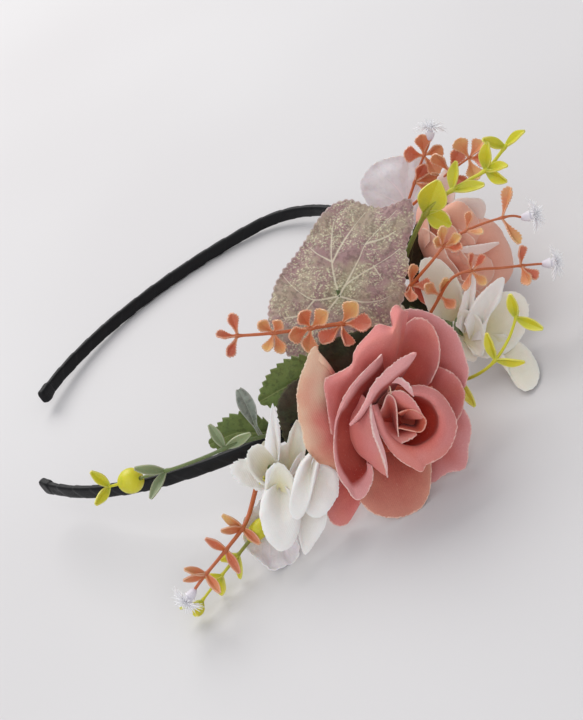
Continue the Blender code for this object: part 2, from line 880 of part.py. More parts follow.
def build_coral_sprigs(root, near):
    """The five coral sprigs."""
    opposite = (0, 3)
    crossed = (1, 4)
    whorl = (0, 1, 3, 4)
    leaf_sprig = (
        Spot(-59.5, 2.8, 3.6),
        Spot(-60.0, 4.5, 9.5),
        Spot(-63.7, 3.6, 18.0),
        Spot(-73.2, -2.5, 23.5),
        Spot(-84.0, -4.5, 28.0),
        Spot(-93.0, -5.0, 32.0),
    )
    groups = (
        Leaflets(0.40, (0, 2, 3, 5), 5.5, 3.4, 25.0),
        Leaflets(0.53, (1, 2, 4, 5), 5.5, 3.4, 25.0),
        Leaflets(0.70, (0, 2, 3, 5), 4.5, 2.8, 30.0),
        Leaflets(0.84, (1, 4), 4.0, 2.4, 35.0),
        Leaflets(0.96, (0, 2, 4), 4.0, 2.2, 45.0),
    )
    add_node("coral_sprig_upper", sprig(leaf_sprig, groups, 0.9), CORAL, root)

    low_sprig = (
        Spot(-108.0, 2.8, -3.4),
        Spot(-112.5, 8.0, -9.8),
        Spot(-115.0, 16.0, -12.2),
        Spot(-117.5, 25.0, -11.6),
        Spot(-121.5, 32.5, -12.4),
        Spot(-124.6, 35.5, -14.75),
    )
    groups = (
        Leaflets(0.53, whorl, 4.8, 1.8, 25.0),
        Leaflets(0.685, whorl, 4.8, 1.8, 25.0),
        Leaflets(0.835, whorl, 4.8, 2.0, 30.0),
    )
    add_node("coral_sprig_low", sprig(low_sprig, groups, 0.8), CORAL, near)

    outer_sprig = (
        Spot(-35.0, 2.0, 3.4),
        Spot(-38.5, 9.0, 8.5),
        Spot(-38.5, 17.4, 13.5),
        Spot(-36.2, 25.0, 17.0),
        Spot(-34.1, 33.3, 17.0),
        Spot(-32.2, 41.6, 15.0),
        Spot(-31.25, 46.0, 11.75),
    )
    groups = (
        Leaflets(0.20, opposite, 4.5, 2.6, 25.0),
        Leaflets(0.43, (1, 2, 4, 5), 5.5, 2.8, 30.0),
        Leaflets(0.64, crossed, 4.5, 2.4, 35.0),
        Leaflets(0.855, (0, 3), 6.0, 2.6, 50.0),
    )
    add_node("coral_sprig_outer", sprig(outer_sprig, groups, 0.9), CORAL, root)

    side_sprig = (
        Spot(-37.5, 2.0, -3.6),
        Spot(-38.8, 9.0, -3.0),
        Spot(-38.5, 21.0, 6.6),
        Spot(-37.5, 29.0, 6.0),
        Spot(-35.9, 34.2, 3.0),
        Spot(-33.5, 41.0, -1.0),
        Spot(-32.25, 46.0, -4.35),
    )
    groups = (
        Leaflets(0.545, opposite, 4.2, 2.2, 30.0),
        Leaflets(0.855, (1, 4), 5.0, 2.4, 50.0),
    )
    add_node("coral_sprig_side", sprig(side_sprig, groups, 0.8), CORAL, root)

    back_sprig = (
        Spot(-1.0, 2.0, 3.4),
        Spot(0.5, 8.0, 8.0),
        Spot(2.5, 15.0, 14.0),
        Spot(3.0, 21.0, 20.0),
        Spot(3.0, 25.5, 24.0),
        Spot(2.85, 27.75, 26.75),
    )
    groups = (
        Leaflets(0.59, (1, 2, 4, 5), 5.2, 3.2, 25.0),
        Leaflets(0.85, (0, 2, 3, 5), 5.2, 3.2, 35.0),
    )
    add_node("coral_sprig_back", sprig(back_sprig, groups, 0.8), CORAL, root)


def build_lime_sprigs(root, near):
    """The four lime sprigs."""
    arm_sprig = (
        Spot(-97.5, 3.2, 3.6),
        Spot(-101.0, 4.5, 5.2),
        Spot(-105.8, 5.2, 6.6),
        Spot(-113.9, 6.6, 7.2),
        Spot(-122.3, 7.4, 7.6),
        Spot(-131.0, 7.4, 7.8),
        Spot(-138.7, 6.5, 7.0),
        Spot(-147.0, 6.3, 6.4),
    )
    groups = (
        Leaflets(0.22, (0, 3), 5.2, 2.0, 40.0),
        Leaflets(0.50, (1, 4), 5.2, 2.0, 40.0),
        Leaflets(0.72, (0, 3), 5.0, 2.0, 40.0),
        Leaflets(0.96, (0, 3), 6.0, 2.6, 50.0),
    )
    add_node("lime_sprig_arm", sprig(arm_sprig, groups, 0.9, (0.85, 3.6, 4.0)), LIME, near)

    low_sprig = (
        Spot(-107.2, 13.5, -15.4),
        Spot(-110.6, 15.8, -16.2),
        Spot(-115.6, 19.8, -17.8),
        Spot(-121.6, 25.2, -20.0),
        Spot(-126.6, 31.4, -21.8),
    )
    groups = (
        Leaflets(0.42, (0, 3), 5.5, 2.2, 40.0),
        Leaflets(0.66, (1, 4), 5.5, 2.2, 40.0),
        Leaflets(0.95, (0, 3), 6.0, 2.4, 55.0),
    )
    add_node("lime_sprig_low", sprig(low_sprig, groups, 0.8, (0.16, 2.6, 3.2)), LIME, near)

    tall_sprig = (
        Spot(-27.0, 2.0, 3.6),
        Spot(-25.5, 6.0, 9.0),
        Spot(-22.5, 17.0, 18.5),
        Spot(-21.4, 25.0, 21.4),
        Spot(-20.3, 32.9, 22.0),
        Spot(-19.4, 39.6, 22.6),
        Spot(-16.8, 48.2, 26.0),
    )
    groups = (
        Leaflets(0.44, (0, 2, 4), 8.0, 5.0, 30.0),
        Leaflets(0.62, (1, 4), 7.0, 3.0, 40.0),
        Leaflets(0.80, (0, 3), 7.5, 3.6, 40.0),
        Leaflets(0.97, (1, 3, 5), 6.5, 3.0, 50.0),
    )
    add_node("lime_sprig_tall", sprig(tall_sprig, groups, 0.9), LIME, root)

    aside = 0.5 * rose_growth() + 0.12 * (HEAD_BREADTH - LAID_OUT_HEAD_BREADTH)
    outer_sprig = (
        Spot(-54.0 + aside, 2.8, -3.8),
        Spot(-55.0 + aside, 10.0, -11.0 - aside),
        Spot(-55.5 + aside, 20.0, -13.0 - aside),
        Spot(-54.5 + aside, 30.0, -10.5 - aside),
        Spot(-52.0 + aside, 37.0, -5.5 - aside),
        Spot(-49.5 + aside, 42.0, 1.0),
    )
    groups = (
        Leaflets(0.58, (0, 3), 6.0, 2.4, 35.0),
        Leaflets(0.80, (1, 4), 6.0, 2.4, 40.0),
        Leaflets(0.97, (0, 3), 7.0, 2.6, 50.0),
    )
    add_node("lime_sprig_outer", sprig(outer_sprig, groups, 0.8), LIME, root)


def build_florets(root, near):
    """Small fringed florets on the ends of the coral sprigs, each a funnel with cut edges."""
    floret = (
        ("outer_floret", Spot(-31.2, 46.5, 11.5), (0.1, 0.9, -0.4), root),
        ("side_floret", Spot(-32.2, 46.5, -4.6), (0.1, 0.9, -0.4), root),
        ("low_floret", Spot(-125.0, 35.8, -15.0), (-0.7, 0.6, -0.4), near),
        ("back_floret", Spot(3.0, 28.0, 27.2), (0.3, 0.5, 0.8), root),
    )
    for name, spot, axis, body in floret:
        bloom = bloom_at(spot, axis, (0.0, -0.1, 1.0))
        funnel = Whorl(FLORET_RADIUS, FLORET_DEPTH, 6, 0.45, 0.0, 0.0)
        add_node(name, petal_whorl(bloom, funnel, 2, 4), WHITE, body)


def stand_on_table(crown):
    """Moves the whole crown so that its box stands on the ground with its middle above the origin."""
    bpy.context.view_layer.update()
    low = Vector((math.inf,) * 3)
    high = Vector((-math.inf,) * 3)
    for node in bpy.context.scene.objects:
        if node.type != "MESH":
            continue
        for vertex in node.data.vertices:
            point = node.matrix_world @ vertex.co
            low = Vector(map(min, low, point))
            high = Vector(map(max, high, point))
    crown.location -= Vector(((low.x + high.x) / 2, (low.y + high.y) / 2, low.z))
    bpy.context.view_layer.update()


def main():
    """Builds the whole crown."""
    clear_scene()
    crown = empty("crown_frame", None, (0, 0, 0))
    crown.rotation_euler = (math.radians(TILT_ACROSS), math.radians(TILT_ALONG), 0)
    root = empty("crown_body", crown, (0, 0, 0))
    near = empty("near_arm_hinge", crown, place(Spot(NEAR_FLEX, 0, 0)) * MM)
    far = empty("far_arm_hinge", crown, place(Spot(FAR_FLEX, 0, 0)) * MM)
    build_band(root, near, far)
    build_large_rose(root)
    build_small_rose(root)
    build_blossoms(root, near)
    build_leaves(root, near)
    build_coral_sprigs(root, near)
    build_lime_sprigs(root, near)
    build_florets(root, near)
    stand_on_table(crown)


main()
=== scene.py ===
"""Flower crown: the finished look of every piece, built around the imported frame.

Lengths are in millimetres until a mesh is made. A flower's or a broad leaf's own points are (across, rise,
towards): to the right, up and out of the open face of the flowers, from the middle of the solid that it
stands for.
"""

import json
import logging
import math
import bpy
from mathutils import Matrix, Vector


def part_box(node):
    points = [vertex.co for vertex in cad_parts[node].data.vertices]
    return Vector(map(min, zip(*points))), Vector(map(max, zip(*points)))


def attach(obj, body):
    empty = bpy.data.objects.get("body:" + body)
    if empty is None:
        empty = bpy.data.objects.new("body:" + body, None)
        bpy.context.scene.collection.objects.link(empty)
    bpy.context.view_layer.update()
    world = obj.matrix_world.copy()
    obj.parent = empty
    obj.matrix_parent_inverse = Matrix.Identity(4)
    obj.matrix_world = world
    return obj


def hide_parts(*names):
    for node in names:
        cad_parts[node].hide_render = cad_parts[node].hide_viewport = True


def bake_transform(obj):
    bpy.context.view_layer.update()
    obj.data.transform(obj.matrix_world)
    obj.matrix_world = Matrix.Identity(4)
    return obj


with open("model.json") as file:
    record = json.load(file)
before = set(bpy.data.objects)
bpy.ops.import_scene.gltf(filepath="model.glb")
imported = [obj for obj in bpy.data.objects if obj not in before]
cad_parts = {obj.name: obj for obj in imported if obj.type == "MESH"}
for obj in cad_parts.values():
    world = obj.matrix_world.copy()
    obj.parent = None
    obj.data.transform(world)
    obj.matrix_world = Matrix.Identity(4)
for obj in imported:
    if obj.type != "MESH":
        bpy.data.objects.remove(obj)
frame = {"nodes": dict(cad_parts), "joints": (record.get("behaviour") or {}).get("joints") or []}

import zlib
from dataclasses import dataclass
from enum import Enum
from typing import Callable, Mapping, Sequence

import bpy
import numpy as np
from mathutils import Matrix

logging.basicConfig(level=logging.INFO, format="%(message)s")
LOG = logging.getLogger("flower_crown")

MM = 0.001
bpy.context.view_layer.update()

Point = Sequence[float]
Line = Sequence[Point]
Color = tuple[float, float, float]

CURVE_STEPS = 14
WAVES = 5
CREASE_ANGLE = math.radians(55)
GOLDEN_TURN = 2.4


class Body(str, Enum):
    """The bodies of the crown that pieces ride on."""

    CROWN = "crown"
    NEAR = "near_arm"
    FAR = "far_arm"


# ---------------------------------------------------------------- shader graphs


class Value:
    """A number inside a shader: arithmetic on it adds Math nodes."""

    def __init__(self, graph: "Graph", socket: bpy.types.NodeSocket) -> None:
        """Wraps an output socket of a graph."""
        self.graph = graph
        self.socket = socket

    def __add__(self, other: "Value | float") -> "Value":
        """Sum."""
        return self.graph.math("ADD", self, other)

    def __sub__(self, other: "Value | float") -> "Value":
        """Difference."""
        return self.graph.math("SUBTRACT", self, other)

    def __mul__(self, other: "Value | float") -> "Value":
        """Product."""
        return self.graph.math("MULTIPLY", self, other)

    __radd__ = __add__

    def clamped(self) -> "Value":
        """The value held between 0 and 1."""
        return self.graph.math("ADD", self, 0.0, clamp=True)

    def between(self, low: float, high: float) -> "Value":
        """A smooth step from 0 at `low` to 1 at `high`, which may be the smaller."""
        settings = {"interpolation_type": "SMOOTHSTEP"}
        inputs = {"Value": self, "From Min": low, "From Max": high}
        return self.graph.node("ShaderNodeMapRange", settings, inputs)


class Graph:
    """The node graph of one material."""

    def __init__(self, name: str) -> None:
        """Makes an empty material with one Principled shader.

        Args:
            name: The material's name.
        """
        self.material = bpy.data.materials.new(name)
        self.material.use_nodes = True
        self.nodes = self.material.node_tree.nodes
        self.links = self.material.node_tree.links
        self.shader = self.nodes["Principled BSDF"]

    def plug(self, socket: bpy.types.NodeSocket, value: object) -> None:
        """Sets a socket from a link, a number, a vector or a colour.

        Args:
            socket: The input to set.
            value: A Value to link, or a plain value.
        """
        if isinstance(value, Value):
            self.links.new(value.socket, socket)
        elif isinstance(value, tuple) and len(value) == 3 and socket.type == "RGBA":
            socket.default_value = (*value, 1.0)
        else:
            socket.default_value = value

    def node(
        self,
        kind: str,
        settings: Mapping[str, object] | None = None,
        inputs: Mapping[str | int, object] | None = None,
        output: int = 0,
    ) -> Value:
        """Adds a node.

        Args:
            kind: The node's type name.
            settings: Properties to set before the inputs; `stops` fills a colour ramp.
            inputs: Values or links, by socket name or number.
            output: Which output to return.

        Returns:
            The chosen output.
        """
        made = self.nodes.new(kind)
        for key, value in (settings or {}).items():
            if key == "stops":
                self.fill_ramp(made.color_ramp, value)
            else:
                setattr(made, key, value)
        for key, value in (inputs or {}).items():
            self.plug(made.inputs[key], value)
        return Value(self, made.outputs[output])

    @staticmethod
    def fill_ramp(ramp: bpy.types.ColorRamp, stops: Sequence[tuple[float, Color]]) -> None:
        """Puts (position, colour) stops on a ramp.

        Args:
            ramp: The ramp, fresh, with two stops.
            stops: Its new stops in rising order.
        """
        while len(ramp.elements) < len(stops):
            ramp.elements.new(1.0)
        for element, (position, color) in zip(ramp.elements, stops):
            element.position = position
            element.color = (*color, 1.0)

    def math(self, operation: str, first: object, second: object, clamp: bool = False) -> Value:
        """A Math node on two values."""
        settings = {"operation": operation, "use_clamp": clamp}
        return self.node("ShaderNodeMath", settings, {0: first, 1: second})

    def trait(self, name: str) -> Value:
        """A number stored on the mesh's points."""
        return self.node("ShaderNodeAttribute", {"attribute_name": name}, output=2)

    def ramp(self, value: Value, stops: Sequence[tuple[float, Color]]) -> Value:
        """A colour that runs through stops as the value goes from 0 to 1."""
        return self.node("ShaderNodeValToRGB", {"stops": stops}, {0: value})

    def mix(self, share: object, first: object, second: object, blend: str = "MIX") -> Value:
        """A colour between two colours."""
        settings = {"data_type": "RGBA", "blend_type": blend}
        return self.node("ShaderNodeMix", settings, {0: share, 6: first, 7: second}, output=2)

    def place(self) -> Value:
        """The point on the piece, in metres."""
        return self.node("ShaderNodeTexCoord", output=3)

    def noise(self, size: float, detail: float = 2.0, stretch: Point = (1, 1, 1)) -> Value:
        """Soft noise.

        Args:
            size: The size of its patches in millimetres.
            detail: How many finer layers it has.
            stretch: How much the pattern is squeezed along each axis.

        Returns:
            The noise, about 0.5 on average.
        """
        spot = self.place()
        if tuple(stretch) != (1, 1, 1):
            spot = self.node("ShaderNodeVectorMath", {"operation": "MULTIPLY"}, {0: spot, 1: tuple(stretch)})
        inputs = {"Vector": spot, "Scale": 1 / (size * MM), "Detail": detail}
        return self.node("ShaderNodeTexNoise", None, inputs)

    def bump(self, height: Value, depth: float, strength: float = 1.0) -> Value:
        """A Bump node for a height that runs from 0 to 1, `depth` millimetres high."""
        inputs = {"Height": height, "Distance": depth * MM, "Strength": strength}
        return self.node("ShaderNodeBump", None, inputs)

    def dress(self, **inputs: object) -> bpy.types.Material:
        """Sets the shader's sockets, with underscores for spaces, and returns the material."""
        for key, value in inputs.items():
            self.plug(self.shader.inputs[key.replace("_", " ")], value)
        return self.material


# ---------------------------------------------------------------- finishes


@dataclass(frozen=True)
class PetalCloth:
    """Dyed cloth punched into petals, with a deeper colour at the foot and a pale, frayed cut edge."""

    name: str
    heart: Color
    body: Color
    tip: Color
    edge: Color
    stain: Color
    stain_share: float = 0.35
    edge_width: float = 0.42
    glow: float = 0.10
    body_at: float = 0.60
    tip_at: float = 1.0
    wander: float = 0.35

    # Sizes of the dye's clouds and patches, the threads, the fluff and the creases.
    CLOUD = 9.0
    PATCH = 14.0
    THREAD = 0.35
    THREAD_DEPTH = 0.05
    FLUFF = 0.6
    CREASE = 2.6
    CREASE_DEPTH = 0.22
    THREADS = 620.0

    def material(self) -> bpy.types.Material:
        """Builds the cloth's material."""
        graph = Graph(self.name)
        along = graph.trait("along")
        cloud = graph.noise(self.CLOUD, 3.0)
        thread = graph.noise(self.THREAD, 2.0)
        color = graph.ramp(
            (along + (cloud - 0.5) * self.wander).clamped(),
            ((0.0, self.heart), (self.body_at, self.body), (self.tip_at, self.tip)),
        )
        patches = graph.noise(self.PATCH, 2.0).between(0.46, 0.68) * self.stain_share
        band = (graph.trait("tone") + (cloud - 0.5) * 0.3).clamped() * 0.9
        color = graph.mix((patches + band).clamped(), color, self.stain)
        color = graph.mix((thread - 0.5).between(-0.28, 0.28) * 0.22, color, (1.0, 0.97, 0.95), "SOFT_LIGHT")
        grains = graph.noise(self.FLUFF, 3.0).between(0.6, 0.75) * 0.12
        color = graph.mix(grains, color, self.edge)
        frayed = (graph.trait("rim") + (graph.noise(0.9, 3.0) - 0.5) * 1.1).between(self.edge_width, 0.0)
        color = graph.mix(frayed * 0.7, color, self.edge)
        rows = {"Scale": self.THREADS, "Vector": graph.place()}
        weave = graph.node("ShaderNodeTexWave", {"wave_type": "BANDS"}, rows, 1)
        height = weave * 0.3 + thread * 0.7
        creases = graph.noise(self.CREASE, 3.0, (1, 1, 0.4))
        normal = graph.bump(creases, self.CREASE_DEPTH, 0.6)
        threads = {"Height": height, "Distance": self.THREAD_DEPTH * MM, "Normal": normal}
        fine = graph.node("ShaderNodeBump", None, threads)
        return graph.dress(
            Base_Color=color,
            Roughness=(0.78 + thread * 0.15).clamped(),
            Normal=fine,
            Sheen_Weight=0.12,
            Sheen_Roughness=0.5,
            Subsurface_Weight=self.glow,
            Subsurface_Radius=(1.0, 0.45, 0.35),
            Subsurface_Scale=0.0012,
            Specular_IOR_Level=0.18,
        )


@dataclass(frozen=True)
class LeafCloth:
    """Printed leaf cloth: a blade colour, blotches, speckle and paler veins."""

    name: str
    blade: Color
    blotch: Color
    speckle: Color
    vein: Color
    edge: Color
    base: Color
    blotch_share: float = 0.6
    speckle_share: float = 0.5
    roughness: float = 0.8
    glow: float = 0.05
    grain: float = 0.75
    shade: float = 0.3

    BLOTCH = 7.0
    SPECKLED = 6.0
    MOTTLE = 1.3
    RELIEF = 0.25
    INK = (0.02, 0.015, 0.02)

    def material(self) -> bpy.types.Material:
        """Builds the leaf's material."""
        graph = Graph(self.name)
        blotches = graph.noise(self.BLOTCH, 4.0).between(0.42, 0.62) * self.blotch_share
        color = graph.mix(blotches, self.blade, self.blotch)
        near_root = graph.trait("along").between(0.38, 0.02)
        color = graph.mix(near_root * 0.65, color, self.base)
        dots = graph.noise(self.grain, 4.0, (1, 1.6, 0.6)).between(0.5, 0.62)
        where = graph.noise(self.SPECKLED, 2.0).between(0.34, 0.58)
        color = graph.mix(dots * where * self.speckle_share, color, self.speckle)
        dark = graph.noise(self.MOTTLE, 3.0).between(0.52, 0.35) * self.shade
        color = graph.mix(dark, color, self.INK, "MULTIPLY")
        vein = graph.trait("vein")
        line = (vein + (graph.noise(0.8, 1.0) - 0.5) * 0.25).between(0.35, 0.85)
        color = graph.mix(line * 0.85, color, self.vein)
        rim = (graph.trait("rim") + (graph.noise(0.6, 2.0) - 0.5) * 0.6).between(0.45, 0.1)
        color = graph.mix(rim * 0.7, color, self.edge)
        height = vein * 0.6 + graph.noise(0.5, 2.0) * 0.3 + graph.noise(2.2, 2.0) * 0.5
        return graph.dress(
            Base_Color=color,
            Roughness=(self.roughness + (graph.noise(1.0) - 0.5) * 0.2).clamped(),
            Normal=graph.bump(height, self.RELIEF, 0.8),
            Sheen_Weight=0.15,
            Subsurface_Weight=self.glow,
            Subsurface_Scale=0.001,
            Specular_IOR_Level=0.3,
        )


@dataclass(frozen=True)
class Moulded:
    """Soft moulded plastic, sprayed from a foot colour to a tip colour, with a powdery rim."""

    name: str
    stem: Color
    foot: Color
    middle: Color
    tip: Color
    rim: Color
    other: Color
    stem_end: Color
    roughness: float = 0.42
    glow: float = 0.12

    MIST = 2.5
    DUST = 0.5
    RELIEF = 0.15

    def material(self) -> bpy.types.Material:
        """Builds the plastic's material."""
        graph = Graph(self.name)
        mist = graph.noise(self.MIST, 3.0)
        along = (graph.trait("along") + (mist - 0.5) * 0.5).clamped()
        color = graph.ramp(along, ((0.0, self.foot), (0.45, self.middle), (1.0, self.tip)))
        color = graph.mix(graph.trait("tone") * along, color, self.other)
        stem = graph.mix(graph.trait("along").between(0.1, 0.8), self.stem, self.stem_end)
        color = graph.mix(graph.trait("stalk").between(0.5, 1.0), color, stem)
        rim = (graph.trait("rim") + (mist - 0.5) * 0.5).between(0.38, 0.02)
        color = graph.mix(rim * 0.55, color, self.rim)
        dust = graph.noise(self.DUST, 2.0).between(0.55, 0.75) * 0.18
        color = graph.mix(dust, color, self.rim)
        height = graph.trait("vein") * 0.5 + graph.noise(0.8, 2.0) * 0.5
        return graph.dress(
            Base_Color=color,
            Roughness=(self.roughness + (mist - 0.5) * 0.3).clamped(),
            Normal=graph.bump(height, self.RELIEF, 0.7),
            Subsurface_Weight=self.glow,
            Subsurface_Scale=0.001,
        )


@dataclass(frozen=True)
class Satin:
    """Black satin ribbon with fine cross threads and a soft shine painted onto its edges."""

    name: str = "black_satin"
    color: Color = (0.004, 0.004, 0.005)
    thread_color: Color = (0.01, 0.01, 0.012)
    edge_sheen_color: Color = (0.02, 0.02, 0.024)

    def material(self) -> bpy.types.Material:
        """Builds the ribbon's material."""
        graph = Graph(self.name)
        threads = graph.noise(0.22, 1.0, (1, 1, 6))
        worn = graph.noise(5.0, 3.0).between(0.5, 0.72)
        color = graph.mix(threads.between(0.35, 0.75) * 0.5, self.color, self.thread_color)
        # Painted sheen: the edges of the laps are painted a little lighter.
        color = graph.mix(graph.trait("rim").between(0.5, 0.0) * 0.25, color, self.edge_sheen_color)
        height = threads * 0.6 + graph.noise(1.6, 2.0) * 0.4
        return graph.dress(
            Base_Color=color,
            Roughness=(0.38 + worn * 0.2).clamped(),
            Normal=graph.bump(height, 0.06, 0.8),
            Specular_IOR_Level=0.22,
        )


@dataclass(frozen=True)
class Plain:
    """A finish for the hidden pieces: colour with mottling, grain and a small bump."""

    name: str
    color: Color
    other: Color
    roughness: float
    metallic: float = 0.0
    grain: float = 1.0
    stretch: tuple[float, float, float] = (1, 1, 1)

    def material(self) -> bpy.types.Material:
        """Builds the finish's material."""
        graph = Graph(self.name)
        grain = graph.noise(self.grain, 4.0, self.stretch)
        return graph.dress(
            Base_Color=graph.mix(grain.between(0.35, 0.65), self.color, self.other),
            Roughness=(self.roughness + (grain - 0.5) * 0.3).clamped(),
            Metallic=self.metallic,
            Normal=graph.bump(grain, 0.05),
        )


Finish = PetalCloth | LeafCloth | Moulded | Satin | Plain

ROSE_CLOTH = PetalCloth(
    "rose_cloth", (0.52, 0.05, 0.028), (0.66, 0.15, 0.125), (0.7, 0.255, 0.245), (0.9, 0.62, 0.54),
    (0.7, 0.24, 0.15),
)
# Dark rose cloth whose deep red is painted shade: for the heart, the sheet under it and the small rose's low
# petals.
ROSE_PAINTED_SHADE = PetalCloth(
    "rose_heart_painted_shade_cloth", (0.2, 0.012, 0.006), (0.6, 0.07, 0.035), (0.68, 0.155, 0.105), (0.86, 0.48, 0.38),
    (0.7, 0.17, 0.08), edge_width=0.25,
)
ROSE_OUTER = PetalCloth(
    "rose_outer_cloth", (0.56, 0.085, 0.06), (0.68, 0.2, 0.18), (0.73, 0.33, 0.33), (0.9, 0.66, 0.6),
    (0.66, 0.26, 0.28),
)
# Rose cloth for the folded and curled petals: its dark body up to the pale rim is painted shade inside the
# folds.
ROSE_FOLD_PAINTED_SHADE = PetalCloth(
    "rose_fold_painted_shade_cloth", (0.2, 0.012, 0.008), (0.34, 0.04, 0.028), (0.76, 0.335, 0.33), (0.92, 0.68, 0.62),
    (0.66, 0.2, 0.14), 0.2, body_at=0.8, tip_at=0.88, wander=0.06,
)
CUP_CLOTH = PetalCloth(
    "rose_cup_cloth", (0.46, 0.022, 0.012), (0.6, 0.075, 0.045), (0.66, 0.225, 0.215), (0.9, 0.62, 0.54),
    (0.7, 0.22, 0.16), body_at=0.55, tip_at=0.86, wander=0.15,
)
ROSE_PALE = PetalCloth(
    "rose_pale_cloth", (0.7, 0.22, 0.19), (0.74, 0.34, 0.33), (0.78, 0.42, 0.42), (0.92, 0.7, 0.64),
    (0.76, 0.34, 0.3), 0.2,
)
ROSE_BEIGE = PetalCloth(
    "rose_beige_cloth", (0.36, 0.055, 0.036), (0.48, 0.12, 0.09), (0.58, 0.24, 0.18), (0.88, 0.66, 0.54),
    (0.66, 0.3, 0.21), 0.5,
)
ROSE_PEACH = PetalCloth(
    "rose_peach_cloth", (0.62, 0.1, 0.065), (0.72, 0.235, 0.2), (0.78, 0.4, 0.27), (0.94, 0.76, 0.58),
    (0.84, 0.64, 0.46), 0.5,
)
BLUSH_CLOTH = PetalCloth(
    "blush_cloth", (0.56, 0.12, 0.06), (0.78, 0.33, 0.24), (0.86, 0.46, 0.36), (0.93, 0.74, 0.66),
    (0.8, 0.36, 0.26),
)
PALE_BLUSH = PetalCloth(
    "pale_blush_cloth", (0.78, 0.4, 0.32), (0.84, 0.56, 0.49), (0.88, 0.7, 0.66), (0.95, 0.86, 0.82),
    (0.84, 0.6, 0.56),
)
IVORY_CLOTH = PetalCloth(
    "ivory_cloth", (0.7, 0.63, 0.36), (0.84, 0.79, 0.66), (0.88, 0.84, 0.76), (0.95, 0.93, 0.88),
    (0.82, 0.76, 0.62), 0.3, 0.4, 0.15,
)
WHITE_CLOTH = PetalCloth(
    "white_cloth", (0.76, 0.72, 0.62), (0.87, 0.83, 0.79), (0.91, 0.88, 0.86), (0.97, 0.96, 0.94),
    (0.84, 0.79, 0.75), 0.3, 0.4, 0.15,
)
MAUVE_LEAF = LeafCloth(
    "mauve_leaf_cloth", (0.43, 0.275, 0.27), (0.52, 0.44, 0.32), (0.8, 0.78, 0.54), (0.86, 0.8, 0.62),
    (0.66, 0.56, 0.55), (0.36, 0.38, 0.2), 0.75, 0.85, grain=0.6,
)
LILAC_LEAF = LeafCloth(
    "lilac_leaf_cloth", (0.78, 0.74, 0.77), (0.84, 0.81, 0.83), (0.7, 0.66, 0.68), (0.86, 0.78, 0.81),
    (0.9, 0.88, 0.89), (0.74, 0.66, 0.69), 0.6, 0.12, 0.85, 0.15, shade=0.05,
)
GREEN_LEAF = LeafCloth(
    "green_leaf_cloth", (0.15, 0.205, 0.05), (0.1, 0.15, 0.042), (0.2, 0.26, 0.08), (0.26, 0.3, 0.11),
    (0.26, 0.32, 0.14), (0.05, 0.07, 0.02), 0.5, 0.3, 0.6,
)
# A near-black copy of the green leaf cloth: painted shade, for leaves in the shaded gaps.
SHADE_PAINTED_LEAF = LeafCloth(
    "shady_leaf_cloth", (0.03, 0.038, 0.014), (0.055, 0.03, 0.016), (0.07, 0.08, 0.03), (0.09, 0.09, 0.04),
    (0.1, 0.11, 0.05), (0.015, 0.018, 0.008), 0.7, 0.3, 0.6,
)
GREY_LEAF = LeafCloth(
    "grey_leaf_cloth", (0.22, 0.25, 0.21), (0.31, 0.34, 0.29), (0.4, 0.43, 0.38), (0.34, 0.37, 0.31),
    (0.42, 0.45, 0.4), (0.1, 0.14, 0.06), 0.5, 0.3, 0.6,
)
CORAL = Moulded(
    "coral_plastic", (0.5, 0.12, 0.03), (0.6, 0.17, 0.03), (0.6, 0.125, 0.06), (0.62, 0.17, 0.105),
    (0.84, 0.56, 0.4), (0.78, 0.52, 0.18), (0.52, 0.14, 0.05),
)
LIME = Moulded(
    "lime_plastic", (0.1, 0.13, 0.03), (0.4, 0.44, 0.03), (0.64, 0.6, 0.02), (0.74, 0.68, 0.03),
    (0.82, 0.78, 0.22), (0.5, 0.52, 0.03), (0.62, 0.6, 0.03),
)
OLIVE = Moulded(
    "olive_plastic", (0.1, 0.14, 0.045), (0.14, 0.18, 0.075), (0.2, 0.25, 0.13), (0.27, 0.32, 0.2),
    (0.45, 0.49, 0.33), (0.3, 0.36, 0.16), (0.16, 0.21, 0.06),
)
FLORET_WHITE = Moulded(
    "floret_plastic", (0.8, 0.77, 0.83), (0.7, 0.64, 0.74), (0.88, 0.87, 0.91), (0.94, 0.94, 0.95),
    (0.95, 0.95, 0.96), (0.9, 0.88, 0.92), (0.82, 0.8, 0.86), 0.5, 0,
)
SATIN = Satin()
STEEL = Plain("spring_steel", (0.5, 0.51, 0.53), (0.4, 0.41, 0.43), 0.32, 1.0, 0.6, (1, 1, 12))
GLUE = Plain("hot_glue", (0.78, 0.74, 0.62), (0.66, 0.61, 0.48), 0.3, 0.0, 2.0)
STALK = Plain("green_stalk", (0.09, 0.14, 0.05), (0.14, 0.19, 0.07), 0.5, 0.0, 1.5)


# ---------------------------------------------------------------- geometry


def smooth_line(points: Line, count: int) -> np.ndarray:
    """Evenly spaced points on a smooth curve through the given ones.

    Args:
        points: The points that the curve passes through.
        count: How many points to return.

    Returns:
        An array of count rows.
    """
    knots = np.asarray(points, float)
    padded = np.vstack([2 * knots[0] - knots[1], knots, 2 * knots[-1] - knots[-2]])
    share = np.linspace(0, 1, CURVE_STEPS, endpoint=False)[:, None]
    runs = [
        0.5 * (
            2 * b + (c - a) * share + (2 * a - 5 * b + 4 * c - d) * share**2
            + (3 * b - a - 3 * c + d) * share**3
        )
        for a, b, c, d in zip(padded, padded[1:], padded[2:], padded[3:])
    ]
    dense = np.vstack([*runs, knots[-1:]])
    return resample(dense, count)


def resample(dense: np.ndarray, count: int) -> np.ndarray:
    """Points at even steps along a polyline."""
    steps = np.linalg.norm(np.diff(dense, axis=0), axis=1)
    travelled = np.concatenate([[0.0], np.cumsum(steps)])
    marks = np.linspace(0, travelled[-1], count)
    return np.stack([np.interp(marks, travelled, dense[:, k]) for k in range(dense.shape[1])], axis=1)


def unit(vectors: np.ndarray) -> np.ndarray:
    """Vectors scaled to length 1."""
    lengths = np.linalg.norm(vectors, axis=-1, keepdims=True)
    return vectors / np.maximum(lengths, 1e-9)


def seeded(name: str) -> np.random.Generator:
    """A random source that depends only on a piece's name."""
    return np.random.default_rng(zlib.crc32(name.encode()))


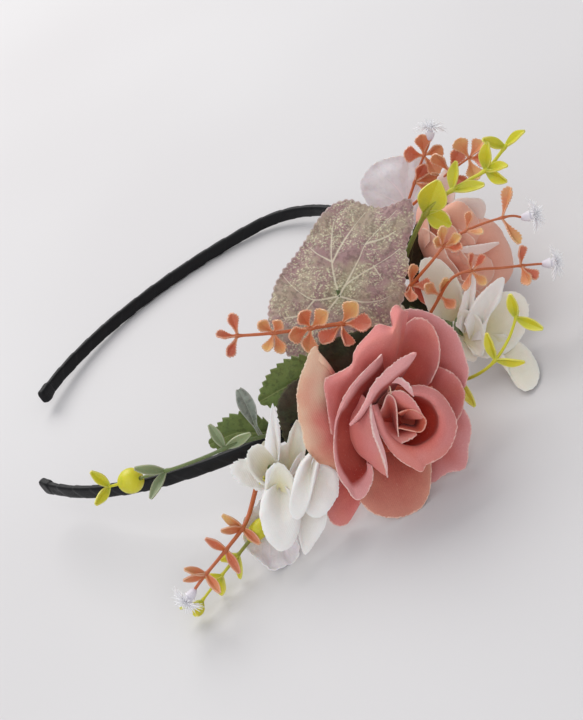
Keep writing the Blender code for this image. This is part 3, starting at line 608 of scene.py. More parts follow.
def ripple(points: np.ndarray, size: float, rng: np.random.Generator) -> np.ndarray:
    """A smooth random height between about -1 and 1 at each point.

    Args:
        points: Points in millimetres.
        size: How far apart its hills are.
        rng: The random source.

    Returns:
        One number for each point.
    """
    waves = rng.normal(0, 2 * math.pi / size / 1.7, (WAVES, 3))
    phases = rng.uniform(0, 2 * math.pi, WAVES)
    return np.sin(points @ waves.T + phases).sum(-1) / 2.6


class Bench:
    """The directions in which the flowers are laid out and looked at."""

    AZIMUTH = 6.0
    ELEVATION = 38.16
    ROLL = -29.93

    @classmethod
    def axes(cls) -> np.ndarray:
        """The across, rise and towards directions, as rows."""
        azimuth, elevation, roll = (math.radians(a) for a in (cls.AZIMUTH, cls.ELEVATION, cls.ROLL))
        flat = math.cos(elevation)
        towards = np.array([math.sin(azimuth) * flat, -math.cos(azimuth) * flat, math.sin(elevation)])
        level = np.array([math.cos(azimuth), math.sin(azimuth), 0.0])
        upright = np.cross(towards, level)
        across = level * math.cos(roll) + upright * math.sin(roll)
        return np.stack([across, np.cross(towards, across), towards])


@dataclass(frozen=True)
class Face:
    """A flower's own frame: an origin and the bench's directions."""

    origin: np.ndarray

    @classmethod
    def on(cls, node: str) -> "Face":
        """The frame in the middle of a solid."""
        low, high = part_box(node)
        return cls((np.array(low) + np.array(high)) / 2 / MM)

    def world(self, points: Line) -> np.ndarray:
        """Points of the crown, in millimetres, for points of this frame."""
        return self.origin + np.asarray(points, float) @ Bench.axes()


class Band:
    """The headband's curve: two half ellipses that share their widest chord."""

    HEAD_BREADTH = 134.0
    CROWN_DEPTH = 39.0
    ARM_DEPTH = 95.0
    ARM_END_ANGLE = 155.9
    NEAR_FLEX = -80.5
    FAR_FLEX = 44.0
    SPAN = 170.0
    STEPS_PER_DEGREE = 4

    def __init__(self) -> None:
        """Finds the band's plane and directions from the two flexing places."""
        count = round(2 * self.SPAN * self.STEPS_PER_DEGREE) + 1
        self.angles = np.radians(np.linspace(-self.SPAN, self.SPAN, count))
        line = self.flat_point(self.angles)
        lengths = np.concatenate([[0.0], np.cumsum(np.linalg.norm(np.diff(line, axis=0), axis=1))])
        self.lengths = lengths - np.interp(0.0, self.angles, lengths)
        joints = {joint["name"]: joint for joint in frame["joints"]}
        near = np.array(joints["near_arm_flex"]["pos_m"]) / MM
        far = np.array(joints["far_arm_flex"]["pos_m"]) / MM
        self.normal = unit(np.array(joints["near_arm_flex"]["axis"], float))
        flat = self.flat_point(self.angle_at(np.array([self.NEAR_FLEX, self.FAR_FLEX])))
        chord = flat[1] - flat[0]
        turn = math.atan2(chord[1], chord[0])
        reach = unit(far - near - self.normal * ((far - near) @ self.normal))
        side = np.cross(self.normal, reach)
        self.along_u = reach * math.cos(turn) - side * math.sin(turn)
        self.along_y = reach * math.sin(turn) + side * math.cos(turn)
        self.origin = near - self.along_u * flat[0, 0] - self.along_y * flat[0, 1]
        self.end = float(np.interp(math.radians(self.ARM_END_ANGLE), self.angles, self.lengths))

    def depth(self, angle: np.ndarray) -> np.ndarray:
        """How deep the ellipse is on an angle's side of the widest chord."""
        return np.where(np.cos(angle) >= 0, self.CROWN_DEPTH, self.ARM_DEPTH)

    def flat_point(self, angle: np.ndarray) -> np.ndarray:
        """Points of the centre line in the band's plane."""
        deep = self.depth(angle) * np.cos(angle)
        return np.stack([deep, self.HEAD_BREADTH / 2 * np.sin(angle)], axis=-1)

    def angle_at(self, along: np.ndarray) -> np.ndarray:
        """Angles at distances along the band."""
        return np.interp(along, self.lengths, self.angles)

    def outward(self, along: np.ndarray) -> np.ndarray:
        """Directions out of the oval at distances along the band."""
        angle = self.angle_at(along)
        slope = np.cos(angle) / self.depth(angle)
        steep = unit(np.stack([slope, np.sin(angle) / (self.HEAD_BREADTH / 2)], axis=-1))
        return steep[..., :1] * self.along_u + steep[..., 1:] * self.along_y

    def spots(self, places: Line) -> np.ndarray:
        """Points for (distance along the band, distance out of it, height above its plane)."""
        places = np.atleast_2d(np.asarray(places, float))
        flat = self.flat_point(self.angle_at(places[:, 0]))
        centre = self.origin + flat[:, :1] * self.along_u + flat[:, 1:] * self.along_y
        return centre + self.outward(places[:, 0]) * places[:, 1:2] + self.normal * places[:, 2:3]

    def heading(self, along: float, parts: Point) -> np.ndarray:
        """A direction given by its parts along, out of and above the band."""
        out = self.outward(np.array(along))
        forward = np.cross(self.normal, out)
        return unit(forward * parts[0] + out * parts[1] + self.normal * parts[2])


BAND = Band()

TRAITS = ("along", "rim", "vein", "stalk", "tone")
Traits = Mapping[str, np.ndarray]


class Kit:
    """Collects the surfaces of one piece, with numbers stored at their points."""

    def __init__(self, name: str) -> None:
        """Starts an empty piece."""
        self.name = name
        self.rng = seeded(name)
        self.points: list[np.ndarray] = []
        self.faces: list[np.ndarray] = []
        self.traits: dict[str, list[np.ndarray]] = {trait: [] for trait in TRAITS}
        self.count = 0

    def add(self, points: np.ndarray, faces: np.ndarray, traits: Traits) -> None:
        """Adds points and quads.

        Args:
            points: Points in millimetres.
            faces: Corner numbers of each quad.
            traits: Numbers for each point; a missing trait is 0.
        """
        self.points.append(points)
        self.faces.append(faces + self.count)
        for trait in TRAITS:
            value = np.broadcast_to(traits.get(trait, 0.0), len(points))
            self.traits[trait].append(np.asarray(value, float))
        self.count += len(points)

    def sheet(
        self, grid: np.ndarray, thickness: float, traits: Traits, closed: bool = False
    ) -> None:
        """Adds a thin closed shell around a grid of points.

        Args:
            grid: Points by row and column.
            thickness: The sheet's thickness.
            traits: Arrays of the grid's shape.
            closed: Whether the last column meets the first.
        """
        rows, columns = grid.shape[:2]
        normal = self.grid_normals(grid, closed) * thickness / 2
        front = (grid + normal).reshape(-1, 3)
        back = (grid - normal).reshape(-1, 3)
        size = rows * columns
        across = columns if closed else columns - 1
        row, column = np.meshgrid(np.arange(rows - 1), np.arange(across), indexing="ij")
        after = (column + 1) % columns
        this, following = row * columns, (row + 1) * columns
        corners = [this + column, this + after, following + after, following + column]
        quads = np.stack(corners, axis=-1).reshape(-1, 4)
        border = self.border(rows, columns, closed)
        walls = [
            np.stack([loop[:-1], loop[:-1] + size, loop[1:] + size, loop[1:]], axis=-1)
            for loop in border
        ]
        faces = np.vstack([quads, quads[:, ::-1] + size, *walls])
        both = {key: np.tile(np.asarray(value, float).reshape(-1), 2) for key, value in traits.items()}
        self.add(np.vstack([front, back]), faces, both)

    @staticmethod
    def grid_normals(grid: np.ndarray, closed: bool) -> np.ndarray:
        """Unit normals of a grid, on the side from which its quads run anticlockwise."""
        if closed:
            across = np.roll(grid, -1, axis=1) - np.roll(grid, 1, axis=1)
        else:
            across = np.gradient(grid, axis=1)
        return unit(np.cross(across, np.gradient(grid, axis=0)))

    @staticmethod
    def to_last_row(grid: np.ndarray) -> np.ndarray:
        """How far each point of a grid is from its last row, along its column."""
        steps = np.linalg.norm(np.diff(grid, axis=0), axis=2)
        return np.vstack([np.cumsum(steps[::-1], axis=0)[::-1], np.zeros((1, grid.shape[1]))])

    @staticmethod
    def border(rows: int, columns: int, closed: bool) -> list[np.ndarray]:
        """The point numbers round a grid's border, in loops that close."""
        index = np.arange(rows * columns).reshape(rows, columns)
        if closed:
            return [np.append(index[0], index[0, 0])[::-1], np.append(index[-1], index[-1, 0])]
        loop = np.concatenate([index[0, ::-1], index[1:, 0], index[-1, 1:], index[-2::-1, -1]])
        return [loop]

    def tube(
        self,
        route: np.ndarray,
        radii: np.ndarray,
        sides: int = 10,
        traits: Traits | None = None,
    ) -> None:
        """Adds a closed tube.

        Args:
            route: Its centre line.
            radii: Its radius at each point.
            sides: How many sides it has.
            traits: Numbers for each point of the route.
        """
        forward = unit(np.gradient(route, axis=0))
        side = np.cross(forward, forward[0] + np.array([0.3, -0.5, 0.81]))
        side = unit(side)
        for i in range(1, len(side)):
            held = side[i - 1] - forward[i] * (side[i - 1] @ forward[i])
            side[i] = held / np.linalg.norm(held)
        top = np.cross(forward, side)
        turn = 2 * math.pi * np.arange(sides) / sides
        turn = turn[None, :, None]
        ring = side[:, None] * np.cos(turn) + top[:, None] * np.sin(turn)
        grid = route[:, None] + ring * np.asarray(radii)[:, None, None]
        rows = len(route)
        ends = np.stack([route[0], route[-1]])
        points = np.vstack([grid.reshape(-1, 3), ends])
        index = np.arange(rows * sides).reshape(rows, sides)
        after = np.roll(index, -1, axis=1)
        quads = np.stack([index[:-1], after[:-1], after[1:], index[1:]], axis=-1).reshape(-1, 4)
        first = np.stack([after[0], index[0], np.full(sides, rows * sides)], axis=-1)
        last = np.stack([index[-1], after[-1], np.full(sides, rows * sides + 1)], axis=-1)
        caps = np.vstack([first, last])
        spread = {
            key: np.concatenate([np.repeat(np.broadcast_to(value, rows), sides), [0.0, 1.0]])
            for key, value in (traits or {}).items()
        }
        base = self.count
        self.add(points, quads, spread)
        self.faces.append(caps + base)

    def make(
        self,
        material: bpy.types.Material,
        body: Body | None,
        slot: str,
        replaces: Sequence[str] = (),
    ) -> bpy.types.Object:
        """Turns the collected surfaces into an object that rides on a body.

        Args:
            material: Its finish.
            body: The body, or None to leave it on no body.
            slot: Not used.
            replaces: The solids that it stands for.

        Returns:
            The object.
        """
        mesh = bpy.data.meshes.new(self.name)
        faces = [corner for group in self.faces for corner in group.tolist()]
        mesh.from_pydata((np.vstack(self.points) * MM).tolist(), [], faces)
        for trait in TRAITS:
            layer = mesh.attributes.new(trait, "FLOAT", "POINT")
            layer.data.foreach_set("value", np.concatenate(self.traits[trait]).astype(np.float32))
        mesh.shade_smooth()
        mesh.set_sharp_from_angle(angle=CREASE_ANGLE)
        mesh.materials.append(material)
        piece = bpy.data.objects.new(self.name, mesh)
        bpy.context.scene.collection.objects.link(piece)
        if body is not None:
            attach(piece, body.value)
        if replaces:
            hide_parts(*replaces)
        LOG.info("%s: %d faces", self.name, len(mesh.polygons))
        return piece


# ---------------------------------------------------------------- petals


@dataclass(frozen=True)
class Petal:
    """A petal lofted through curves that each run from its one side to its other.

    The last curve is its rim. A root point starts the loft where the petal narrows to its foot; the belly is
    how far its middle sinks behind the straight way from root to rim, and the roll bends its rim back. The
    band is where a paler streak lies, across and along; teeth are how far a leaf's rim is notched.
    """

    rim: Line
    finish: PetalCloth | LeafCloth
    guides: Sequence[Line] = ()
    root: Point | None = (0.0, 0.0, -16.0)
    root_reach: float = 0.12
    belly: float = 0.0
    roll: float = 0.6
    crumple: float = 0.45
    band: tuple[float, float] | None = None
    teeth: float = 0.0

    THICKNESS = 0.32
    RIM_POINTS = 200
    COLUMN_STEP = 0.42
    ROW_STEP = 0.7
    ROLL_START = 0.86
    FRAY = 0.15

    def curves(self) -> np.ndarray:
        """The curves that the petal is lofted through, from its foot to its rim."""
        rim = smooth_line(self.rim, self.RIM_POINTS)
        length = np.linalg.norm(np.diff(rim, axis=0), axis=1).sum()
        columns = max(24, round(length / self.COLUMN_STEP))
        curves = [smooth_line(guide, columns) for guide in (*self.guides, self.rim)]
        if self.root is not None:
            root = np.asarray(self.root, float)
            foot = root + (curves[-1] - root) * self.root_reach
            foot[:, 2] = root[2]
            if not self.guides:
                middle = (foot + curves[-1]) / 2
                middle[:, 2] -= self.belly
                curves.insert(0, middle)
            curves.insert(0, foot)
        return np.stack(curves)

    def surface(self, face: Face, rng: np.random.Generator) -> tuple[np.ndarray, dict[str, np.ndarray]]:
        """The petal's grid of points and its traits.

        Args:
            face: The flower's frame.
            rng: The random source.

        Returns:
            The grid, with rows from root to rim, and the traits.
        """
        curves = self.curves()
        columns = curves.shape[1]
        rows = max(18, round(np.linalg.norm(curves[-1] - curves[0], axis=1).max() / self.ROW_STEP))
        grid = self.loft(curves, rows)
        along = np.linspace(0, 1, rows)[:, None] * np.ones(columns)
        across = np.linspace(-1, 1, columns)[None, :] * np.ones((rows, 1))
        grid[..., 2] -= self.roll * np.clip((along - self.ROLL_START) / 0.14, 0, 1) ** 2
        world = face.world(grid.reshape(-1, 3)).reshape(grid.shape)
        normal = Kit.grid_normals(world, False)
        soft = ripple(world, 9.0, rng) * 0.7 + ripple(world, 4.0, rng) * 0.3
        world += normal * (soft * self.crumple * along**0.7)[..., None]
        to_rim = Kit.to_last_row(world)
        outward = unit(np.gradient(world, axis=0)[-1])
        fray = np.abs(rng.normal(0, self.FRAY, columns)) + self.teeth * (np.arange(columns) % 4) / 4
        world[-1] += outward * fray[:, None]
        sides = np.linalg.norm(world - world[:, :1], axis=2)
        other = np.linalg.norm(world - world[:, -1:], axis=2)
        near = np.minimum(to_rim, np.minimum(sides, other) + 0.15) if self.root is None else to_rim
        shade = along if self.root is not None else 0.75 + 0.25 * along
        tone = np.zeros_like(along)
        if self.band is not None:
            tone = np.exp(-(((across - self.band[0]) / 0.35) ** 2) - ((along - self.band[1]) / 0.22) ** 2)
        return world, {"along": shade, "rim": near, "tone": tone}

    @staticmethod
    def loft(curves: np.ndarray, rows: int) -> np.ndarray:
        """Rows of points on smooth curves through the guides, column by column."""
        if len(curves) == 2:
            share = np.linspace(0, 1, rows)[:, None, None]
            return curves[0] * (1 - share) + curves[1] * share
        return np.stack([smooth_line(curves[:, k], rows) for k in range(curves.shape[1])], axis=1)


@dataclass(frozen=True)
class Round:
    """A round of like petals, cupped about a flower's axis."""

    finish: PetalCloth
    petals: int
    radius: float
    rise: float
    foot: float
    turn: float
    breadth: float = 1.25
    curl: float = 2.0

    ROWS = 26
    COLUMNS = 34
    FOOT_RADIUS = 0.9

    def petal(self, number: int, rng: np.random.Generator) -> tuple[np.ndarray, np.ndarray]:
        """One petal's grid in the axis's frame, and how far along each point is.

        Args:
            number: Which petal of the round.
            rng: The random source.

        Returns:
            Points as (side, side, along the axis), and shares from foot to rim.
        """
        rows, columns = self.ROWS, self.COLUMNS
        share = np.linspace(0, 1, rows)[:, None] * np.ones(columns)
        across = np.linspace(-1, 1, columns)[None, :] * np.ones((rows, 1))
        size = 1 + rng.uniform(-0.08, 0.08)
        reach = 1 - 0.30 * np.abs(across) ** 2.6 - 0.05 * np.exp(-((across / 0.12) ** 2))
        t = share * reach * size
        angle = self.turn + 2 * math.pi * number / self.petals + rng.uniform(-0.1, 0.1)
        half = math.pi / self.petals * self.breadth
        spread = half * np.minimum(1.0, 0.45 + 1.2 * share) * across
        bowl = np.sin(np.clip(t, 0, 1.1) * math.pi / 2)
        radius = self.FOOT_RADIUS + (self.radius - self.FOOT_RADIUS) * bowl + 0.25 * number / self.petals
        lift = self.foot + self.rise * t**1.35 - self.curl * np.clip(t - 0.8, 0, 1) ** 2 * 12
        radius = radius + self.curl * np.clip(t - 0.75, 0, 1) ** 2 * 9
        direction = angle + spread
        return np.stack([radius * np.cos(direction), radius * np.sin(direction), lift], axis=-1), share


class Flower:
    """A cloth flower: petals given one by one in its face's frame, and rounds of like petals about its axis.
    """

    name = "flower"
    slot = "rose_pink"
    body = Body.CROWN
    replaced: dict[str, tuple[str, ...]] = {}

    def lay(self, face: Face, petals: Mapping[str, Petal]) -> None:
        """Makes petals given one by one.

        Args:
            face: The flower's frame.
            petals: Each petal by its name.
        """
        for label, petal in petals.items():
            kit = Kit(f"{self.name}_{label}")
            grid, traits = petal.surface(face, kit.rng)
            kit.sheet(grid, petal.THICKNESS, traits)
            kit.make(FINISHES.of(petal.finish), self.body, self.slot, self.replaced.get(label, ()))

    def rounds(self, origin: np.ndarray, axis: np.ndarray, rounds: Mapping[str, Round]) -> None:
        """Makes rounds of like petals, each round one piece.

        Args:
            origin: The flower's base.
            axis: Its facing.
            rounds: Each round by its name.
        """
        first = unit(np.cross(axis, Bench.axes()[0]))
        second = np.cross(axis, first)
        for label, whorl in rounds.items():
            kit = Kit(f"{self.name}_{label}")
            for number in range(whorl.petals):
                local, share = whorl.petal(number, kit.rng)
                world = origin + local[..., :1] * first + local[..., 1:2] * second + local[..., 2:] * axis
                normal = Kit.grid_normals(world, False)
                world += normal * (ripple(world, 7.0, kit.rng) * 0.5 * share)[..., None]
                kit.sheet(world, Petal.THICKNESS, {"along": share, "rim": Kit.to_last_row(world)})
            kit.make(FINISHES.of(whorl.finish), self.body, self.slot, self.replaced.get(label, ()))


class Finishes:
    """Each finish's material, made once."""

    def __init__(self) -> None:
        """Starts with none made."""
        self.made: dict[str, bpy.types.Material] = {}

    def of(self, finish: Finish) -> bpy.types.Material:
        """The material of a finish."""
        if finish.name not in self.made:
            self.made[finish.name] = finish.material()
        return self.made[finish.name]


FINISHES = Finishes()


# The wide petals that lie open around the large rose.
LARGE_ROSE_OUTER = {
    "outer_peach_petal": Petal(
        ((-17.9, -16.2, -10), (-22.6, -14, -9), (-26.3, -9.6, -7), (-27.6, -4.2, -6.5), (-28.4, -1.5, -6),
         (-28.7, 5.2, -5), (-26.8, 12.4, -4), (-24.2, 17.7, -4), (-22.6, 14, -4.5)),
        ROSE_PEACH, root=(-12, 2, -15), belly=-2.5, roll=0.8, band=(0.35, 0.62),
    ),
    "outer_low_petal": Petal(
        ((-18, -16.6, -14.5), (-18.5, -22.2, -14.5), (-20.5, -26.9, -15), (-18.9, -31.2, -15),
         (-15, -31.6, -15), (-12, -27.4, -15), (-11, -23.9, -14.5), (-10.6, -16.3, -14)),
        ROSE_CLOTH, root=(-6, -5, -18), belly=0.5,
    ),
    "bottom_petal": Petal(
        ((-12.6, -15.5, -9), (-12, -23, -9.6), (-9.3, -26.9, -10), (-4.8, -28.9, -10.2), (0.3, -28.9, -10.2),
         (5.2, -26.4, -10.2), (7.6, -21.6, -10), (8, -14, -9)),
        ROSE_BEIGE, root=(-1, -4, -13), belly=0.3, crumple=0.3,
    ),
    "lower_right_petal": Petal(
        ((16.6, 1.3, -11), (18.5, -1.7, -11.5), (19.2, -5.1, -12), (18.7, -9.8, -13), (17.8, -15.6, -14),
         (13.2, -17, -14), (9.3, -19.6, -14), (7, -20.4, -14), (5.3, -16.3, -14)),
        ROSE_OUTER, root=(1, -3, -16), belly=1,
    ),
    "right_petal": Petal(
        ((8.8, 12.6, -11), (12.1, 11.4, -8), (15.3, 8.6, -7.5), (16.9, 5.2, -8), (16.6, 1.3, -8.5),
         (15.3, -2.1, -9), (12.2, -5.2, -9.5)),
        ROSE_CLOTH, root=(1, -1, -16), belly=2.5,
    ),
    "upper_right_petal": Petal(
        ((-3.2, 25.5, -8), (1, 27.8, -8), (6.3, 27.4, -8.5), (11, 25.2, -9), (15.1, 21, -9.5),
         (17.4, 15, -10), (18.3, 11.2, -10.5), (17.6, 7.3, -11), (15.6, 3.7, -12)),
        ROSE_OUTER, root=(2, 0, -17), belly=2.5,
    ),
}
# The standing petals between the outer ones and the heart, most with rims that roll outwards.
LARGE_ROSE_CURLED = {
    "back_petal": Petal(
        ((-6.5, 15.5, -4), (-2.2, 20.6, -4.5), (2.7, 25.2, -5), (6.5, 24.6, -5), (9, 21.6, -5),
         (10.1, 16.9, -5), (9.4, 12.4, -5), (7.6, 8, -5)),
        ROSE_CLOTH, root=(-1, 0, -15), belly=4, crumple=0.3,
    ),
    "upper_curled_petal": Petal(
        ((-19.5, -6, -5), (-21, 3.5, -4), (-21.3, 8.4, -3), (-19.3, 9.9, -2.5), (-14.3, 12.5, -1.5),
         (-13.4, 16.4, -1), (-10, 20.7, -1), (-7, 23.4, -1.5), (-2.9, 23, -2), (-3.6, 26.6, -3),
         (-1.8, 28.6, -4), (1, 26.4, -5)),
        ROSE_CLOTH,
        guides=(((-17, -6, -7), (-18.6, 0.5, -6), (-18.6, 5, -5), (-17.2, 7.2, -3.5), (-13.6, 9.8, -1.5),
                 (-10.9, 14.4, 0), (-7.6, 16.6, 0.6), (-4.4, 18.4, 0.5), (-2.4, 20.6, 0), (-1.4, 22.8, -0.8),
                 (-0.6, 24.4, -2), (0.9, 25.3, -3.5)),),
        root=(-3, 2, -15), roll=0.8, crumple=0.3,
    ),
    # Its dark inside is painted shade.
    "left_folded_petal": Petal(
        ((-6.3, 15.6, 4), (-9.9, 12.4, 5), (-13.8, 8.2, 5), (-16.6, 3.9, 4.5), (-18.2, -0.4, 4),
         (-18.9, -5.5, 3), (-18.8, -11.9, 1.5), (-17.4, -17.5, 0), (-15, -20.9, -1.5), (-12.5, -23.7, -3),
         (-9.9, -21.8, -3.5), (-8.3, -17.5, -4), (-8.6, -14.5, -4.5)),
        ROSE_FOLD_PAINTED_SHADE,
        guides=(((-6.2, 14.6, 2.6), (-8.4, 11, 3), (-12, 6.9, 3), (-15.2, 2.2, 2.8), (-17, -0.8, 2),
                 (-17.2, -5.5, 0.5), (-16.1, -11.9, -2.5), (-14.2, -15.3, -4.5), (-11.8, -16.8, -6),
                 (-9.8, -15.2, -6.5), (-9.6, -12.4, -6.5)),),
        root=(-3, -1, -13), roll=0.3, crumple=0.2,
    ),
    "inner_curled_petal": Petal(
        ((2.1, 16, 5), (-2.2, 14, 6), (-6.5, 10.3, 6.5), (-9.1, 7.3, 6.5), (-10.8, 3.2, 6.2),
         (-12.5, 0.2, 5.8), (-14.6, -2.7, 5)),
        ROSE_FOLD_PAINTED_SHADE,
        guides=(((2.3, 14.9, 3.8), (-0.2, 11.6, 4.6), (-3.8, 8.6, 5), (-7.2, 5.9, 5.2), (-9.9, 2, 5.2),
                 (-12.1, -0.9, 5), (-14.4, -3, 4.6)),),
        root=(-5, 1, -10), roll=0.2, crumple=0.15,
    ),
    "cup_wall_petal": Petal(
        ((-9.4, 3, 4.6), (-9.3, -1.2, 5.1), (-8.6, -5.5, 5.1), (-6.9, -9.8, 4.6), (-5.6, -13.6, 3.6),
         (-4.8, -17, 2.8)),
        ROSE_CLOTH,
        guides=(((-12, 5.6, -4), (-15, -0.4, -5), (-15, -5.5, -6), (-12.8, -10.2, -6), (-9.9, -12.4, -5),
                 (-6.5, -14.5, -3)),),
        root=(-2, -2, -15), roll=0, crumple=0.3,
    ),
    "cup_curled_rim": Petal(
        ((-9.6, 3.6, 5), (-9.3, -1.2, 5.5), (-8.6, -5.5, 5.5), (-6.9, -9.8, 5), (-5.6, -13.6, 4),
         (-4.8, -17.2, 3)),
        ROSE_PALE,
        guides=(((-9.3, 3.4, 4.6), (-8.4, -1.2, 5.1), (-7.2, -5.5, 5.1), (-5.7, -9.8, 4.6), (-4.8, -14, 3.6),
                 (-4.7, -16.9, 3)),),
        root=None, roll=0.1, crumple=0.1,
    ),
    "cup_petal": Petal(
        ((1.6, 7.3, 3.6), (5, 7.3, 3.2), (8.5, 5.6, 2.8), (11.9, 1.8, 2.3), (13.8, -2.9, 1.8),
         (12.9, -7.6, 1.5), (10, -11.7, 1.5), (5.5, -13.8, 1.8), (4.4, -15.5, 2), (1.6, -14.3, 2.5),
         (-2.2, -11.9, 3.3), (-5.6, -7.6, 4.2), (-8.2, -2.5, 4.6), (-9.1, 2.2, 4.6)),
        CUP_CLOTH,
        guides=(((2.1, 4, -3), (4, 3.4, -3), (6.4, 2.2, -3), (8.2, -0.2, -3), (8.6, -2.9, -3),
                 (7.6, -5.9, -3), (5, -7.8, -3), (1.7, -8.6, -3), (-1.2, -7.6, -3), (-3.8, -5.2, -3),
                 (-5.4, -1.2, -3), (-6.2, 2, -3)),
                ((2.1, 4.9, 4.2), (4.6, 4.7, 4.2), (7.2, 3.2, 4), (8.9, 0, 3.6), (9.3, -2.9, 3.2),
                 (8.4, -6, 3), (5.5, -8.6, 3), (2.1, -9.5, 3), (-1.4, -8.6, 3.4), (-4.6, -5.7, 3.9),
                 (-6.7, -1.2, 4.3), (-8.4, 2.2, 4.4))),
        root=(1, -2.5, -8), roll=0.4, crumple=0.3,
    ),
}
# The rolled petals in the cup, and under them a dark sheet coloured with painted shade.
LARGE_ROSE_HEART = {
    # A dark sheet in the cup's bottom: its colour is painted shade.
    "heart_ground": Petal(
        ((9, -11, -7.5), (10, -3, -7.5), (8, 7, -7.5)), ROSE_PAINTED_SHADE,
        guides=(((-9, -11, -7.5), (-11, -3, -7.5), (-9, 7, -7.5)),), root=None,
    ),
    "pale_inner_petal": Petal(
        ((-4.8, 8.8, 4.6), (-1.8, 9.4, 4.6), (0.6, 7.8, 4.3), (2.4, 4.8, 3.8)), ROSE_PALE,
        guides=(((-4.4, 8, 4), (-1.9, 7.9, 4), (0.2, 6.2, 3.6), (2.2, 4.4, 3.4)),),
        root=None, roll=0.1, crumple=0.2,
    ),
    "heart_left_petal": Petal(
        ((-7.9, -1.8, 1.5), (-9.2, 3.2, 2.4), (-7.4, 6.6, 3), (-4.6, 7.6, 3.2), (-3.7, 5, 2.8)),
        ROSE_PEACH, root=(-3, -1, -7), belly=1.2, roll=0.2, crumple=0.2,
    ),
    "heart_front_petal": Petal(
        ((-8, -2.1, 1), (-6.1, 1.3, 2.5), (-4.6, 4.9, 3.2), (-2.8, 3.2, 3.2), (-2, -1.2, 2.6),
         (-1.6, -7.2, 1.4)),
        ROSE_CLOTH, root=(-3, -3, -7), belly=0.4, roll=0.1, crumple=0.2,
    ),
    "heart_upper_petal": Petal(
        ((-4.6, 5.4, 2.4), (-1.4, 6, 3.4), (1.2, 4.4, 3.4), (3.6, 1.4, 2.8), (4.8, -1, 2)),
        ROSE_CLOTH, guides=(((-3.4, 3.6, 1), (-1.6, 2.9, 1.6), (0.2, 1.8, 1.6), (2.6, -0.2, 1.2),
                             (4.2, -1.6, 1)),),
        root=(-1, -2, -6), roll=0.1, crumple=0.2,
    ),
    "heart_spiral": Petal(
        ((-1.8, -0.2, 2), (0.4, 0.7, 2.4), (2.9, 0.5, 2.5), (5.3, -1.6, 2.2), (5.2, -3.8, 2), (3.9, -5, 2),
         (0.8, -4.6, 2), (-1.8, -4, 1.8)),
        ROSE_PAINTED_SHADE, root=(1.6, -2.3, -6), root_reach=0.5, belly=-0.6, roll=0, crumple=0.15,
    ),
    "heart_lower_petal": Petal(
        ((-7.4, -3.8, 2.2), (-5.2, -6.8, 2.4), (-2, -8.3, 2.4), (1.4, -7, 2), (3.2, -5.8, 1.6)),
        ROSE_CLOTH, guides=(((-6.2, -2.6, 1), (-4.2, -5.2, 1.2), (-1.8, -6.3, 1.2), (0.6, -5.9, 1),
                             (2.6, -5, 0.8)),),
        root=(-1, -3, -7), roll=0.1, crumple=0.2,
    ),
}


class LargeRose(Flower):
    """The large rose: outer petals, curled petals round its cup, and its rolled heart."""

    name = "large_rose"
    slot = "rose_pink"
    replaced = {
        "outer_peach_petal": ("large_rose_petals_1",),
        "outer_low_petal": ("large_rose_petals_2",),
        "left_folded_petal": ("large_rose_petals_3",),
        "cup_petal": ("large_rose_petals_4",),
        "upper_curled_petal": ("large_rose_petals_5",),
        "heart_spiral": ("large_rose_heart",),
    }

    # The hidden petals' turns in degrees and their reach, and half the angle that each one spans.
    UNDER_TURNS = ((60, 20), (130, 21), (205, 20), (262, 16), (325, 15))
    UNDER_SPREAD = math.radians(38)

    def build(self) -> None:
        """Makes the rose's petals."""
        face = Face.on("large_rose_heart")
        for layer in (LARGE_ROSE_OUTER, LARGE_ROSE_CURLED, LARGE_ROSE_HEART, self.under()):
            self.lay(face, layer)

    def under(self) -> dict[str, Petal]:
        """A last round of petals behind the others, which closes the rose's back."""
        found = {}
        for number, (turn, reach) in enumerate(self.UNDER_TURNS):
            middle = math.radians(turn)
            rim = []
            for step in (-1.0, -0.6, 0.0, 0.6, 1.0):
                angle = middle + self.UNDER_SPREAD * step
                out = reach * (1 - 0.22 * step * step)
                rim.append((out * math.cos(angle) - 1, out * math.sin(angle) - 1, -17.5 + 0.3 * number))
            found[f"under_petal_{number + 1}"] = Petal(
                tuple(rim), ROSE_CLOTH, root=(0, -1, -20 + 0.3 * number), belly=0.8
            )
        return found


# The small rose's rounds from the outside in: radius, rise, foot, turn and breadth of their petals.
SMALL_ROSE_ROUNDS = {
    "outer_round": Round(BLUSH_CLOTH, 5, 16.4, 10.5, 0.0, 0.3, 1.35),
    "middle_round": Round(BLUSH_CLOTH, 5, 11.5, 13.5, 1.0, 0.9, 1.4, curl=1.0),
    "inner_round": Round(BLUSH_CLOTH, 4, 8.0, 15.5, 2.0, 1.6, 1.5, curl=0.5),
    "bud_round": Round(BLUSH_CLOTH, 3, 4.4, 16.5, 3.0, 2.2, 1.6, curl=0.3),
}
